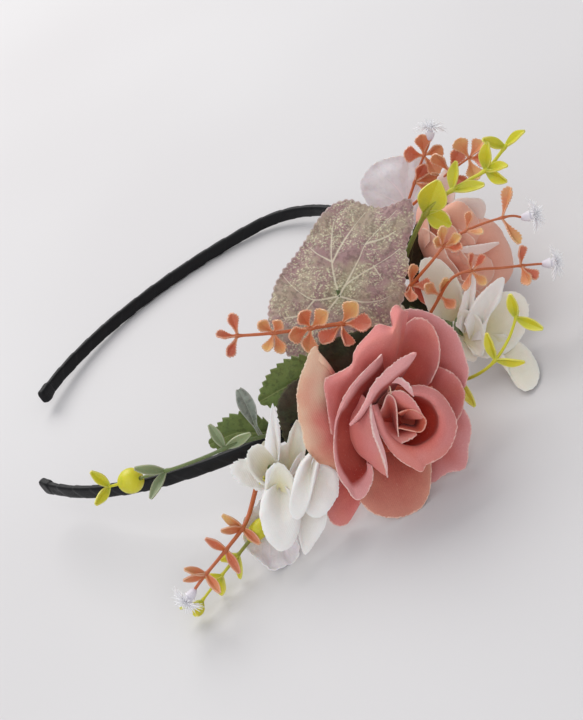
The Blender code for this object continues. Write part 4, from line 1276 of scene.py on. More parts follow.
# The broad petals of the small rose's near side, and the pale ones above them.
SMALL_ROSE_WRAPPING = {
    "pale_back_petal": Petal(
        ((-8.6, 10.5, -1), (-7.6, 17, -1), (-3.9, 21.8, -1), (-1.6, 21.4, -1), (-1, 15.6, 0), (-2, 9, 1)),
        PALE_BLUSH, root=(-7, 0, -6), belly=-1,
    ),
    "pale_top_petal": Petal(
        ((-3.4, 9.6, 4), (-1.6, 11.8, 4.5), (1.9, 12.4, 4.5), (6.8, 11.8, 3), (7.6, 8.3, 3), (5.4, 3.6, 4)),
        PALE_BLUSH, root=(-7, -4, -3), belly=-3, crumple=0.3,
    ),
    "right_petal": Petal(
        ((4.6, 7.2, 4), (9.8, 5.4, 4), (13.6, 0.8, 3.5), (16, -5, 3), (15.7, -10.2, 3), (12.8, -13.8, 3.5),
         (8.1, -16.9, 4.5), (4.8, -17.6, 6)),
        BLUSH_CLOTH, root=(-8, -8, -1), belly=-5.5, roll=2.2, crumple=0.3,
    ),
    "left_petal": Petal(
        ((-8.8, 4, 5), (-6, 8.6, 7), (-0.9, 10.8, 8), (3.4, 7.8, 8.5), (5.4, 3.4, 8.5), (5.2, -1, 8)),
        BLUSH_CLOTH, root=(-11, -7, 0), belly=-3.5, roll=1.6, crumple=0.3,
    ),
    "pale_fold": Petal(
        ((-3.4, -4, 9.4), (0.6, -2.6, 9.8), (5.4, -2, 9.4), (11, -1.2, 7.6)), PALE_BLUSH,
        guides=(((-3.2, -4.4, 9.2), (1, -4.6, 9.6), (5.6, -4.8, 9.2), (11.2, -1.6, 7.2)),),
        root=None, roll=0.2, crumple=0.3,
    ),
    "front_petal": Petal(
        ((-6.8, -1.6, 8.5), (-2, -3.2, 9.5), (4, -4.4, 9.6), (8.6, -6.6, 8.6), (9.4, -11.2, 8),
         (6, -14.8, 8), (1.6, -16.8, 8)),
        BLUSH_CLOTH, root=(-11, -11, 1), belly=-3, roll=1.4, crumple=0.3,
    ),
    # Its dark cloth is painted shade.
    "low_petal": Petal(
        ((-9, -5, 6), (-5, -6.6, 8), (-2.4, -9.6, 9), (-1.6, -13.6, 9), (-4, -18.4, 7.5)),
        ROSE_PAINTED_SHADE, root=(-13, -14, 0), belly=-1, roll=0.8, crumple=0.3,
    ),
    "pale_low_edge": Petal(
        ((-6.4, -7.4, 10), (-3.2, -8.8, 10.4), (-0.8, -12.2, 10.4), (0.8, -16.8, 10)), PALE_BLUSH,
        guides=(((-5.6, -9, 9.6), (-3, -10.6, 10), (-1.6, -13, 10), (-0.2, -16.8, 9.6)),),
        root=None, roll=0.2,
    ),
    # Its dark cloth is painted shade.
    "lower_left_petal": Petal(
        ((-14.6, -12, 4), (-13.6, -16.4, 5), (-10.6, -19.6, 5.5), (-5.4, -20.8, 6), (-1.6, -18.4, 6)),
        ROSE_PAINTED_SHADE, root=(-9, -11, 0), belly=0.5, crumple=0.4,
    ),
}


class SmallRose(Flower):
    """The small blush rose, which faces out of the crown."""

    name = "small_rose"
    slot = "blush"
    replaced = {
        "outer_round": ("small_rose_petals_1",),
        "middle_round": ("small_rose_petals_2",),
        "inner_round": ("small_rose_petals_3",),
        "bud_round": ("small_rose_heart",),
    }

    SPOT = (-13.0, 9.5, -1.0)
    FACING = (-0.01, 0.99, 0.12)

    def build(self) -> None:
        """Makes the rose's rounds and the petals that wrap its near side."""
        axis = BAND.heading(self.SPOT[0], self.FACING)
        self.rounds(BAND.spots((self.SPOT,))[0], axis, SMALL_ROSE_ROUNDS)
        self.lay(Face.on("small_rose_heart"), SMALL_ROSE_WRAPPING)


class Blossom(Flower):
    """A white blossom, with a cluster of short stamens in its eye."""

    STAMENS = 14
    STAMEN = (0.18, 0.16, 0.15, 0.14, 0.14, 0.2, 0.3, 0.18)
    slot = "white_petal"

    def stamens(self, node: str, finish: Moulded) -> None:
        """Makes the stamens that stand for the blossom's eye.

        Args:
            node: The eye's solid.
            finish: Their finish.
        """
        face = Face.on(node)
        kit = Kit(f"{self.name}_stamens")
        for number in range(self.STAMENS):
            angle = number * GOLDEN_TURN
            lean = 0.25 * math.sqrt(number)
            tip = np.array([lean * math.cos(angle) * 2.0, lean * math.sin(angle) * 2.0, -1.6 - lean])
            foot = tip * 0.25 - np.array([0, 0, 3.0])
            route = smooth_line((foot, (tip + foot) / 2 + np.array([0, 0, 0.3]), tip), 8)
            kit.tube(face.world(route), np.array(self.STAMEN), 6, {"along": np.linspace(0, 1, 8)})
        kit.make(FINISHES.of(finish), self.body, "cream_eye", (node,))


# The petals of the blossom beside the large rose.
NEAR_BLOSSOM_PETALS = {
    "upright_petal": Petal(
        ((0.1, 9.6, 1), (0.6, 12.9, 2), (1.4, 16.7, 3), (2.2, 21.3, 3), (3.4, 17.4, 3), (4.2, 13.9, 2.5),
         (4.2, 9.8, 2), (3.9, 6.4, 1.5)),
        WHITE_CLOTH, root=(3.6, 5.2, -1), belly=-1.2, roll=0.1, crumple=0.15,
    ),
    "upper_petal": Petal(
        ((3.4, 5.6, -3), (4.4, 9.3, -2.5), (6.2, 10.4, -2.5), (7.6, 14.6, -2), (9, 16.6, -2),
         (10.4, 13.9, -2.5), (11.3, 9.4, -2.5), (10.4, 5.6, -3), (7.6, 1.2, -3.5)),
        IVORY_CLOTH, root=(6, -1, -7), belly=1, crumple=0.3,
    ),
    "side_petal": Petal(
        ((6.6, 2, -1.5), (7.8, 4.8, -1.5), (9.4, 7.2, -2.2), (10.6, 7.8, -3), (10.8, 6.2, -3.2)),
        WHITE_CLOTH, root=(7.4, -2, -5), belly=0.5, crumple=0.2,
    ),
    "left_petal": Petal(
        ((3.6, 5.4, -1), (1, 8.8, 0), (-1.5, 10.1, 1), (-3.6, 9, 1.5), (-4.6, 7, 1.5), (-4.4, 3.8, 1),
         (-2.5, 0.7, 0), (0.3, -1.4, -1)),
        IVORY_CLOTH, root=(4, 1, -6), belly=1.6, crumple=0.3,
    ),
    "left_inner_petal": Petal(
        ((0.6, -0.6, 0.5), (0.8, 2.4, 0.8), (2.6, 4.8, 1), (3.8, 5.2, 1)), WHITE_CLOTH,
        guides=(((1.4, 0.2, 0.4), (1.7, 2.2, 0.7), (3.2, 3.8, 0.9), (4.2, 4.4, 0.9)),),
        root=None, roll=0.2,
    ),
    "fringe_petal": Petal(
        ((-2.2, 6.6, -6), (-6.7, 5.4, -5), (-9.1, 3.8, -5), (-8.6, 1.2, -5), (-6, -1.6, -5), (-0.8, -3, -6)),
        WHITE_CLOTH, root=(4, 0, -9), belly=0.5, crumple=0.8, teeth=0.8,
    ),
    "inner_petal": Petal(
        ((0, -3.2, 0.5), (0.8, 1, 1), (3.8, 5, 1.5), (7.4, 1.6, 1.8), (8, -1.5, 1.5), (7.4, -4, 1)),
        IVORY_CLOTH, root=(4, -2.6, -2), belly=0.3, crumple=0.3,
    ),
    "low_oval_petal": Petal(
        ((0.1, -2.6, 1), (-0.9, -5.6, 1.5), (-1.1, -9.1, 2), (-0.2, -13.2, 2.3), (2, -17.1, 2.3),
         (4.5, -18.8, 2), (7.2, -17.3, 1.5), (9.2, -12.9, 1), (9.5, -9.1, 0.5), (7.6, -3.2, 0)),
        WHITE_CLOTH, root=(4.5, 0, -3), belly=-1.8, crumple=0.35,
    ),
    "low_right_petal": Petal(
        ((8.6, -8.2, -2), (9.3, -13.2, -2), (9.8, -17.1, -2.5), (11.1, -20.4, -3), (14.1, -16.6, -2.5),
         (16.6, -12.2, -2), (17.1, -7.6, -1.5)),
        WHITE_CLOTH, root=(9, -1, -7), belly=-0.5, crumple=0.3,
    ),
    "right_petal": Petal(
        ((14, 5.6, -1), (19.4, 2.6, 0), (20.1, -2.4, 0.5), (19.1, -5.2, 1), (16.3, -8.9, 1.5),
         (13.9, -9.6, 1.5), (11.4, -8.2, 1.5), (11.2, -3.5, 1)),
        WHITE_CLOTH, root=(12, 3, -5), belly=-1, crumple=0.3,
    ),
    "bright_petal": Petal(
        ((12.1, 7.7, 2), (9.3, 4.2, 4), (7.9, -0.7, 5), (6.8, -5.6, 4.5), (7.3, -8.6, 4), (9.3, -10, 4),
         (11.5, -7.2, 4.5), (13.3, -1.4, 5), (15, 4.7, 3)),
        WHITE_CLOTH, root=(13.4, 6.4, 0.5), belly=-1.5, crumple=0.15,
    ),
}


class NearBlossom(Blossom):
    """The white blossom beside the large rose."""

    name = "near_blossom"
    body = Body.NEAR
    replaced = {
        "low_oval_petal": ("near_blossom_outer_petals",),
        "inner_petal": ("near_blossom_inner_petals",),
    }

    def build(self) -> None:
        """Makes the blossom's petals."""
        self.lay(Face.on("near_blossom_eye"), NEAR_BLOSSOM_PETALS)
        self.stamens("near_blossom_eye", LIME)


# The petals of the blossom between the roses.
FAR_BLOSSOM_PETALS = {
    "wide_left_petal": Petal(
        ((-12.6, 1.4, -5), (-15.8, 10.3, -5), (-16, 18.2, -4), (-11.4, 19, -3), (-7, 15.4, -3),
         (-4.2, 10, -3), (-3.7, 4.8, -3)),
        IVORY_CLOTH, root=(-3, -3, -7), belly=1, crumple=0.3,
    ),
    "upright_petal": Petal(
        ((-6.2, -0.7, 0), (-4.7, 6.3, 2), (-3.2, 11.3, 3.5), (-1.4, 16.5, 4), (-0.9, 11.3, 4),
         (-1.2, 7.3, 3), (-2.2, -0.2, 1)),
        WHITE_CLOTH, root=(-3.5, -3, -2), belly=-1, roll=0.1, crumple=0.2,
    ),
    "pointed_petal": Petal(
        ((-4, -0.1, 2), (-1.4, 5.8, 3.5), (2, 9.8, 4.5), (5.8, 13, 4.5), (7.4, 12.2, 4.5), (6, 7.3, 4.5),
         (3.2, 2.3, 3.5), (1.4, -4.6, 2)),
        WHITE_CLOTH, root=(-2, -5, -1), belly=-0.8, crumple=0.25,
    ),
    "front_petal": Petal(
        ((-6, 0.4, 1.5), (-5.4, 3.4, 2.4), (-2.6, 3.6, 3), (0.6, 1, 3.4), (2, -4, 3.2), (1.2, -9, 2.6),
         (-1.4, -8.8, 2)),
        IVORY_CLOTH, root=(-4, -4, -3), belly=0.5, crumple=0.35,
    ),
    "wide_right_petal": Petal(
        ((2.2, 3.8, 1), (6.2, 8.5, 2), (10.7, 9, 2), (14, 6.6, 1), (14.6, 1.3, 0), (12.6, -4.1, 0),
         (8.4, -8.3, 0), (3.2, -9.8, 0), (-1.2, -9, 0)),
        IVORY_CLOTH, root=(-1, -3, -4), belly=1.5, crumple=0.35,
    ),
    "low_right_petal": Petal(
        ((8, -3, -2), (13.8, -6.6, 0.6), (16.8, -12.2, 4.6), (16, -17.2, 8), (12.6, -19.2, 9),
         (9.6, -16.4, 6.6), (7.4, -9.6, 2)),
        IVORY_CLOTH, root=(2, -3, -5), belly=0, crumple=0.35,
    ),
    "low_left_petal": Petal(
        ((-6.6, 0.8, -2), (-7, -4.4, -2), (-4.2, -9.6, -1), (-0.2, -10.4, 0), (0.4, -3, 0)),
        IVORY_CLOTH, root=(-2, -1, -5), belly=0.5, crumple=0.35,
    ),
}


class FarBlossom(Blossom):
    """The white blossom between the two roses."""

    name = "far_blossom"
    replaced = {
        "wide_right_petal": ("far_blossom_outer_petals",),
        "pointed_petal": ("far_blossom_inner_petals",),
    }

    def build(self) -> None:
        """Makes the blossom's petals."""
        self.lay(Face.on("far_blossom_eye"), FAR_BLOSSOM_PETALS)
        self.stamens("far_blossom_eye", LIME)


# Leaves behind the large rose, in its frame, dark with painted shade.
BEHIND_ROSE = {
    "behind_rose_top": Petal(
        ((-24.5, 3, -15), (-24.6, 12, -14), (-22.5, 18, -13), (-16.6, 20.4, -13), (-9.6, 22.6, -12.5),
         (-4.6, 23.6, -12)),
        SHADE_PAINTED_LEAF, root=(-6, 4, -15), belly=0.5, crumple=0.7, teeth=0.5,
    ),
    "behind_rose_left": Petal(
        ((-26, -13, -18), (-31, -10, -17), (-33, -5, -16), (-34, 1.6, -15), (-30.6, 7.4, -14),
         (-24.6, 10, -13)),
        SHADE_PAINTED_LEAF, root=(-12, 0, -16), belly=0.5, crumple=0.7, teeth=0.5,
    ),
}
# Leaves between the two roses, in the small rose's frame, dark with painted shade.
BETWEEN_ROSES = {
    "between_roses_top": Petal(
        ((-17.4, -12, 4), (-15.4, -3, 4.5), (-13.6, 3.8, 5), (-10.4, 7.6, 5), (-6.6, 6.6, 4)),
        SHADE_PAINTED_LEAF, root=(-6, -12, -2), belly=0, crumple=0.8, teeth=0.5,
    ),
    "between_roses_low": Petal(
        ((3.6, -21.6, 1), (-3.6, -25.6, 1), (-10.4, -25.6, 1.5), (-16.4, -21.6, 2.5), (-17.4, -14.6, 3.5)),
        SHADE_PAINTED_LEAF, root=(-5, -11, -2), belly=0, crumple=0.8, teeth=0.5,
    ),
}


class ShadePaintedLeaves(Flower):
    """The leaves in the gaps behind the flowers, near black with painted shade."""

    name = "shady_leaf"
    slot = "green_leaf"

    def build(self) -> None:
        """Makes them."""
        self.lay(Face.on("large_rose_heart"), BEHIND_ROSE)
        self.lay(Face.on("small_rose_heart"), BETWEEN_ROSES)


# ---------------------------------------------------------------- leaves


def vein_strength(points: np.ndarray, veins: Sequence[Line], width: float) -> np.ndarray:
    """How close each point is to a vein, 1 on it and 0 a width away.

    Args:
        points: Flat points.
        veins: The veins' lines, thickest at their start.
        width: A vein's width at its start.

    Returns:
        One number for each point.
    """
    best = np.zeros(len(points))
    for vein in veins:
        line = smooth_line(vein, 110)
        away = np.linalg.norm(points[:, None] - line[None], axis=2)
        nearest = away.argmin(axis=1)
        local = width * (1 - 0.55 * nearest / len(line))
        best = np.maximum(best, np.clip(1 - away.min(axis=1) / local, 0, 1))
    return best


@dataclass(frozen=True)
class BroadLeaf:
    """A broad toothed leaf that lies near the plane of its solid."""

    name: str
    node: str
    slot: str
    finish: LeafCloth
    outline: Line
    centre: Point
    veins: Sequence[Line]
    teeth: int = 60
    tooth: float = 1.0
    cup: float = -2.0
    pleat: float = 0.5
    thickness: float = 0.35
    body: Body = Body.CROWN
    rings: int = 64

    TOOTH_POINTS = 7
    VEIN_WIDTH = 0.72
    PLEAT_WIDTH = 3.4

    def build(self) -> None:
        """Makes the leaf."""
        kit = Kit(self.name)
        face = Face.on(self.node)
        spokes = self.teeth * self.TOOTH_POINTS
        loop = smooth_line((*self.outline, self.outline[0]), spokes + 1)[:-1]
        centre = np.asarray(self.centre, float)
        saw = np.abs((np.arange(spokes) % self.TOOTH_POINTS) / self.TOOTH_POINTS - 0.35)
        arms = loop - centre
        arms = arms * (1 + (self.tooth * (0.5 - saw) / np.linalg.norm(arms, axis=1)))[:, None]
        shares = np.linspace(0.004, 1, self.rings) ** 0.8
        flat = centre + shares[:, None, None] * arms[None]
        points = flat.reshape(-1, 2)
        vein = vein_strength(points, self.veins, self.VEIN_WIDTH).reshape(flat.shape[:2])
        wide = vein_strength(points, self.veins, self.PLEAT_WIDTH).reshape(flat.shape[:2])
        towards = self.plane(face)
        lift = points @ towards[:2] + towards[2]
        height = lift.reshape(flat.shape[:2]) + self.cup * shares[:, None] ** 2 - self.pleat * wide
        grid = np.concatenate([flat, height[..., None]], axis=-1)
        world = face.world(grid.reshape(-1, 3)).reshape(grid.shape)
        normal = Kit.grid_normals(world, True)
        wave = ripple(world, 16.0, kit.rng) * 1.1 + ripple(world, 6.0, kit.rng) * 0.35
        world = world + normal * (wave * shares[:, None] ** 1.4)[..., None]
        reach = np.linalg.norm(arms, axis=1)
        rim = (1 - shares[:, None]) * reach[None]
        traits = {"along": shares[:, None] * np.ones(spokes), "rim": rim, "vein": vein}
        kit.sheet(world, self.thickness, traits, True)
        kit.make(FINISHES.of(self.finish), self.body, self.slot, (self.node,))

    def plane(self, face: Face) -> np.ndarray:
        """The solid's plane as towards = a * across + b * rise + c, by least squares."""
        points = np.array([vertex.co for vertex in frame["nodes"][self.node].data.vertices]) / MM
        local = (points - face.origin) @ Bench.axes().T
        system = np.column_stack([local[:, 0], local[:, 1], np.ones(len(local))])
        return np.linalg.lstsq(system, local[:, 2], rcond=None)[0]


MAUVE = BroadLeaf(
    "mauve_leaf_blade",
    "mauve_leaf",
    "mauve_leaf",
    MAUVE_LEAF,
    (
        (-2, 20.5), (1.6, 21.4), (6.3, 20), (10.4, 19.4), (14.6, 20.3), (18.7, 21.4), (19.8, 18), (19.9, 14),
        (18.6, 9.4), (17.7, 6), (18.2, 3.2), (17.2, -1.2), (17.6, -4.7), (16.2, -8.5), (14.2, -13.8),
        (10.6, -19.4), (3, -21.6), (-6.6, -22.6), (-14.6, -23.6), (-17.4, -21.4), (-20.4, -17.8),
        (-21.6, -10.2), (-20.4, -5.8), (-17.6, 0.6), (-13.8, 5.4), (-10.6, 10.4), (-7.4, 14.8), (-4.6, 18.4),
    ),
    (-1.4, -6.4),
    (
        ((-1.4, -6.4), (1.5, -1), (4.3, 4.4), (6.2, 8.6), (10.1, 13), (15.2, 18.4)),
        ((-1.4, -6.4), (-2.8, -1), (-3.6, 5), (-3.5, 10.8), (-2.7, 15.6), (-0.6, 18.6)),
        ((-3.2, 3.6), (-0.4, 8.9), (3.1, 14), (6.2, 17.8)),
        ((-1.4, -6.4), (0.4, -3.2), (4.3, -0.4), (8.5, 2.2), (13.2, 5.1), (16.1, 7.3)),
        ((6.2, 8.6), (11.6, 10.5), (14.8, 12.4)),
        ((8.5, 2.2), (11, -1.6)),
        ((-3.2, 3.4), (-7.5, 5.7), (-9.7, 7.6)),
        ((-1.4, -6.4), (-8.4, -7.4), (-12.9, -5.1), (-15.7, -2.6), (-17.6, -0.3)),
        ((-1.4, -6.4), (5.3, -8), (10.6, -7.4), (14.4, -5.4)),
        ((-1.4, -6.4), (-6, -12), (-11.6, -16.4)),
        ((-8.4, -7.4), (-12.4, -11.6), (-17, -12.6)),
    ),
    teeth=74,
)
LILAC = BroadLeaf(
    "lilac_leaf_blade",
    "lilac_leaf",
    "lilac_leaf",
    LILAC_LEAF,
    (
        (-10.8, 3.8), (-7.8, 8.6), (-2.4, 10.8), (4.6, 11.1), (10.1, 9.2), (11.9, 6.5), (11.3, 2.6),
        (10.2, -3.2), (8.2, -7.8), (4.2, -10.4), (-2, -8.6), (-7, -4.6), (-9.9, 0.2),
    ),
    (3.6, -4.6),
    (
        ((3.6, -4.6), (1, 0.5), (-3.4, 5.4), (-6, 8.2)),
        ((3.6, -4.6), (3, 2), (3.4, 9.4)),
        ((3.6, -4.6), (6, 0.8), (9.2, 6.6)),
        ((3.6, -4.6), (-2, -1.6), (-8.6, 1.6)),
    ),
    teeth=30,
    tooth=0.5,
    cup=-1.0,
    rings=30,
)
LOW_LILAC = BroadLeaf(
    "low_lilac_leaf_blade",
    "low_lilac_leaf",
    "lilac_leaf",
    LILAC_LEAF,
    (
        (-5.2, -2.4), (-5.8, -7.6), (-4.2, -12), (-1.2, -14.8), (1.2, -16.4), (5.2, -14.8), (7.8, -12),
        (7.6, -6), (6, 0), (3, 6), (0.2, 6), (-2.6, 2),
    ),
    (1.4, -3),
    (
        ((1.4, -3), (0.8, -9), (1, -15)),
        ((1.4, -3), (-1.6, -7), (-3.4, -10.8)),
        ((1.4, -3), (4, -8), (5.8, -12.6)),
    ),
    teeth=26,
    tooth=0.6,
    cup=3.4,
    body=Body.NEAR,
    rings=26,
)


@dataclass(frozen=True)
class LongLeaf:
    """A long toothed leaf and its petiole along a curved route beside the band."""

    name: str
    node: str
    finish: LeafCloth
    body: Body
    route: Line
    facing_at: float
    facing: Point
    half_width: float
    petiole: float
    teeth: int
    tooth: float = 1.1
    widest: float = 0.45
    fold: float = 0.10
    slot: str = "green_leaf"

    PETIOLE = 0.6
    TOOTH_ROWS = 8
    COLUMNS = 25
    THICKNESS = 0.35

    def build(self) -> None:
        """Makes the leaf."""
        kit = Kit(self.name)
        rows = self.teeth * self.TOOTH_ROWS
        columns = self.COLUMNS
        spine = smooth_line(BAND.spots(self.route), rows)
        facing = BAND.heading(self.facing_at, self.facing)
        forward = unit(np.gradient(spine, axis=0))
        side = unit(np.cross(facing, forward))
        top = np.cross(forward, side)
        share = np.linspace(0, 1, rows)
        blade = np.clip((share - self.petiole) / (1 - self.petiole), 0, 1)
        peak = math.log(0.5) / math.log(self.widest)
        saw = (np.arange(rows) % self.TOOTH_ROWS) / self.TOOTH_ROWS - 0.5
        saw = saw * self.tooth * (blade > 0) * (blade < 0.97)
        half = self.PETIOLE + self.half_width * np.sin(math.pi * blade**peak) ** 0.75 + saw
        across = np.linspace(-1, 1, columns)
        offset = half[:, None] * across
        rib = 0.35 * np.exp(-((offset / 0.5) ** 2)) * (blade > 0)[:, None]
        lift = self.fold * np.abs(offset) * 1.6 - rib
        world = spine[:, None] + side[:, None] * offset[..., None] + top[:, None] * lift[..., None]
        wave = ripple(world, 8.0, kit.rng) * 0.6
        world = world + top[:, None] * (wave * np.abs(across) ** 1.5)[..., None]
        slant = blade[:, None] * self.teeth / 2 - np.abs(offset) * 0.28
        ribs = np.clip(1 - np.abs((slant % 1) - 0.5) / 0.1, 0, 1) * 0.6
        vein = np.maximum(ribs, np.clip(1 - np.abs(offset) / 0.45, 0, 1))
        rim = half[:, None] * (1 - np.abs(across))
        along = np.clip(blade * 1.3, 0, 1)[:, None] * np.ones(columns)
        kit.sheet(world, self.THICKNESS, {"along": along, "rim": rim, "vein": vein})
        kit.make(FINISHES.of(self.finish), self.body, self.slot, (self.node,))


LONG_LEAVES = (
    LongLeaf(
        "upper_green_leaf_blade", "upper_green_leaf", GREEN_LEAF, Body.CROWN,
        ((-68, -1.5, 3.6), (-75.5, -4, 7.5), (-86, -6, 9.5), (-97, -6.5, 8.8)),
        -88, (0.14, 0.87, 0.48), 6.6, 0.12, 15,
    ),
    LongLeaf(
        "lower_green_leaf_blade", "lower_green_leaf", GREEN_LEAF, Body.NEAR,
        ((-95, -3.7, -1), (-102, -4.6, 1), (-108, -5.4, 3.2), (-117, -5.2, 3)),
        -105, (0.27, 0.84, 0.48), 5.2, 0.08, 13,
    ),
    LongLeaf(
        "small_grey_leaf_blade", "small_grey_leaf", GREY_LEAF, Body.NEAR,
        ((-100, 0.5, 3), (-99.8, 0.3, 7), (-99, 0, 12), (-98.5, -0.5, 18.5)),
        -97, (0.2, 0.84, 0.48), 1.7, 0.2, 8, 0.05, 0.62, 0.15,
    ),
    # Its near-black colour is painted shade.
    LongLeaf(
        "dark_green_leaf_blade", "dark_green_leaf", SHADE_PAINTED_LEAF, Body.CROWN,
        ((-24, 2, 3.2), (-22.5, 4, 6.5), (-19, 5.5, 12), (-14, 7.5, 18)),
        -18, (-0.3, 0.75, 0.55), 4.6, 0.1, 10, 0.4,
    ),
)


# ---------------------------------------------------------------- sprigs


class LeafletForm(Enum):
    """How a group of leaflets stands, and what its rims are like."""

    WHORL = "round the stem, with smooth rims"
    STAR = "open towards the front, with smooth rims"
    TOOTHED_STAR = "open towards the front, with toothed rims"


STAR = LeafletForm.STAR
TOOTHED = LeafletForm.TOOTHED_STAR


@dataclass(frozen=True)
class Leaflet:
    """A group of leaflets on a stem: its place along it, their turns in degrees, and their sizes."""

    at: float
    turns: Sequence[float]
    length: float
    width: float
    pitch: float
    bend: float = 20.0
    form: LeafletForm = LeafletForm.WHORL

    @property
    def star(self) -> bool:
        """Whether they lie open towards the front."""
        return self.form is not LeafletForm.WHORL

    @property
    def toothed(self) -> bool:
        """Whether their rims are toothed."""
        return self.form is LeafletForm.TOOTHED_STAR


@dataclass(frozen=True)
class Sprig:
    """A moulded sprig: a tapering stem, leaflets and pods."""

    name: str
    node: str
    body: Body
    route: Line
    groups: Sequence[Leaflet]
    radius: float = 0.6
    pods: Sequence[tuple[float, float, float]] = ()
    finish: Moulded = CORAL
    slot: str = "coral_plastic"

    STEM_POINTS = 90
    ROWS = 30
    COLUMNS = 13
    THICKNESS = 0.42
    POD_POINTS = 25

    def build(self) -> None:
        """Makes the sprig as one piece."""
        kit = Kit(self.name)
        line = smooth_line(BAND.spots(self.route), self.STEM_POINTS)
        share = np.linspace(0, 1, len(line))
        radii = self.radius * (1 - 0.4 * share)
        for group in self.groups:
            radii = radii + 0.35 * self.radius * np.exp(-(((share - group.at) / 0.018) ** 2))
        stem_shade = {"along": share, "stalk": np.ones(len(line)), "rim": np.full(len(line), 4.0)}
        kit.tube(line, radii, 10, stem_shade)
        forward = unit(np.gradient(line, axis=0))
        for group in self.groups:
            i = min(len(line) - 1, round(group.at * (len(line) - 1)))
            axis = Bench.axes()[2] if group.star else forward[i]
            start = Bench.axes()[0] if group.star else unit(np.cross(axis, BAND.normal))
            third = np.cross(axis, start)
            for turn in group.turns:
                angle = math.radians(turn) + kit.rng.uniform(-0.15, 0.15)
                out = start * math.cos(angle) + third * math.sin(angle)
                self.leaflet(kit, line[i], axis, out, group)
        for at, radius, half in self.pods:
            self.pod(kit, line, at, radius, half)
        kit.make(FINISHES.of(self.finish), self.body, self.slot, (self.node,))

    def leaflet(
        self, kit: Kit, root: np.ndarray, forward: np.ndarray, out: np.ndarray, group: Leaflet
    ) -> None:
        """Adds one leaflet.

        Args:
            kit: The sprig's kit.
            root: Where it leaves the stem.
            forward: The way that the leaflets lean.
            out: The direction away from the stem.
            group: Its size and pitch.
        """
        rows, columns = self.ROWS, self.COLUMNS
        size = group.length * (1 + kit.rng.uniform(-0.12, 0.12))
        share = np.linspace(0, 1, rows)
        liveliness = 1.0 if group.star else 0.3
        lean = group.pitch + liveliness * kit.rng.uniform(-8, 24)
        pitch = np.radians(lean + group.bend * share)
        heading = out * np.cos(pitch)[:, None] + forward * np.sin(pitch)[:, None]
        spine = root + np.concatenate([[np.zeros(3)], np.cumsum(heading[:-1] * size / (rows - 1), axis=0)])
        side = unit(np.cross(forward, out))
        top = np.cross(heading, side)
        twist = liveliness * kit.rng.uniform(-0.85, 0.85)
        cosine, sine = math.cos(twist), math.sin(twist)
        side, top = side * cosine + top * sine, top * cosine - side * sine
        half = self.half_widths(group, share)
        across = np.linspace(-1, 1, columns)
        offset = half[:, None] * across
        lift = (0.22 + 0.16 * liveliness) * np.abs(offset) ** 1.3 - 0.12 * np.exp(-((offset / 0.35) ** 2))
        world = spine[:, None] + side[:, None] * offset[..., None] + top[:, None] * lift[..., None]
        world = world + top[:, None] * (ripple(world, 5.0, kit.rng) * 0.22 * share[:, None])[..., None]
        rim = half[:, None] * (1 - np.abs(across))
        rim = np.minimum(rim, (1 - share[:, None]) * size)
        vein = np.clip(1 - np.abs(offset) / 0.35, 0, 1)
        stalk = np.clip(1 - share / 0.12, 0, 1)[:, None] * np.ones(columns)
        along = share[:, None] * np.ones(columns)
        tone = np.full_like(along, kit.rng.uniform(0, 1) ** 1.5)
        traits = {"along": along, "rim": rim, "vein": vein, "stalk": stalk, "tone": tone}
        kit.sheet(world, self.THICKNESS, traits)

    @staticmethod
    def half_widths(group: Leaflet, share: np.ndarray) -> np.ndarray:
        """A leaflet's half width at shares of its length."""
        fullest = 2.3 if group.toothed else 1.0
        swell = np.sin(math.pi * np.clip(share * 0.95 + 0.02, 0, 1) ** fullest) ** 0.95
        half = 0.30 + group.width / 2 * swell
        if group.toothed:
            half = half + 0.36 * ((np.arange(len(share)) % 3) / 2 - 0.5) * (share > 0.35)
        return half

    def pod(self, kit: Kit, line: np.ndarray, at: float, radius: float, half: float) -> None:
        """Adds a round seed pod on the stem.

        Args:
            kit: The sprig's kit.
            line: The stem's line.
            at: Its place along the stem.
            radius: Its radius.
            half: Half its length.
        """
        i = round(at * (len(line) - 1))
        direction = unit(line[min(i + 2, len(line) - 1)] - line[i - 2])
        steps = np.linspace(-1, 1, self.POD_POINTS)
        route = line[i] + steps[:, None] * direction * half
        radii = radius * np.sqrt(np.clip(1 - steps**2, 0.004, 1)) * (1 - 0.10 * steps)
        shade = {"along": 0.35 + 0.5 * np.abs(steps), "rim": np.full(self.POD_POINTS, 4.0)}
        kit.tube(route, radii, 22, shade)


@dataclass(frozen=True)
class LimeSprig(Sprig):
    """A sprig of yellow-green plastic."""

    finish: Moulded = LIME
    slot: str = "lime_plastic"


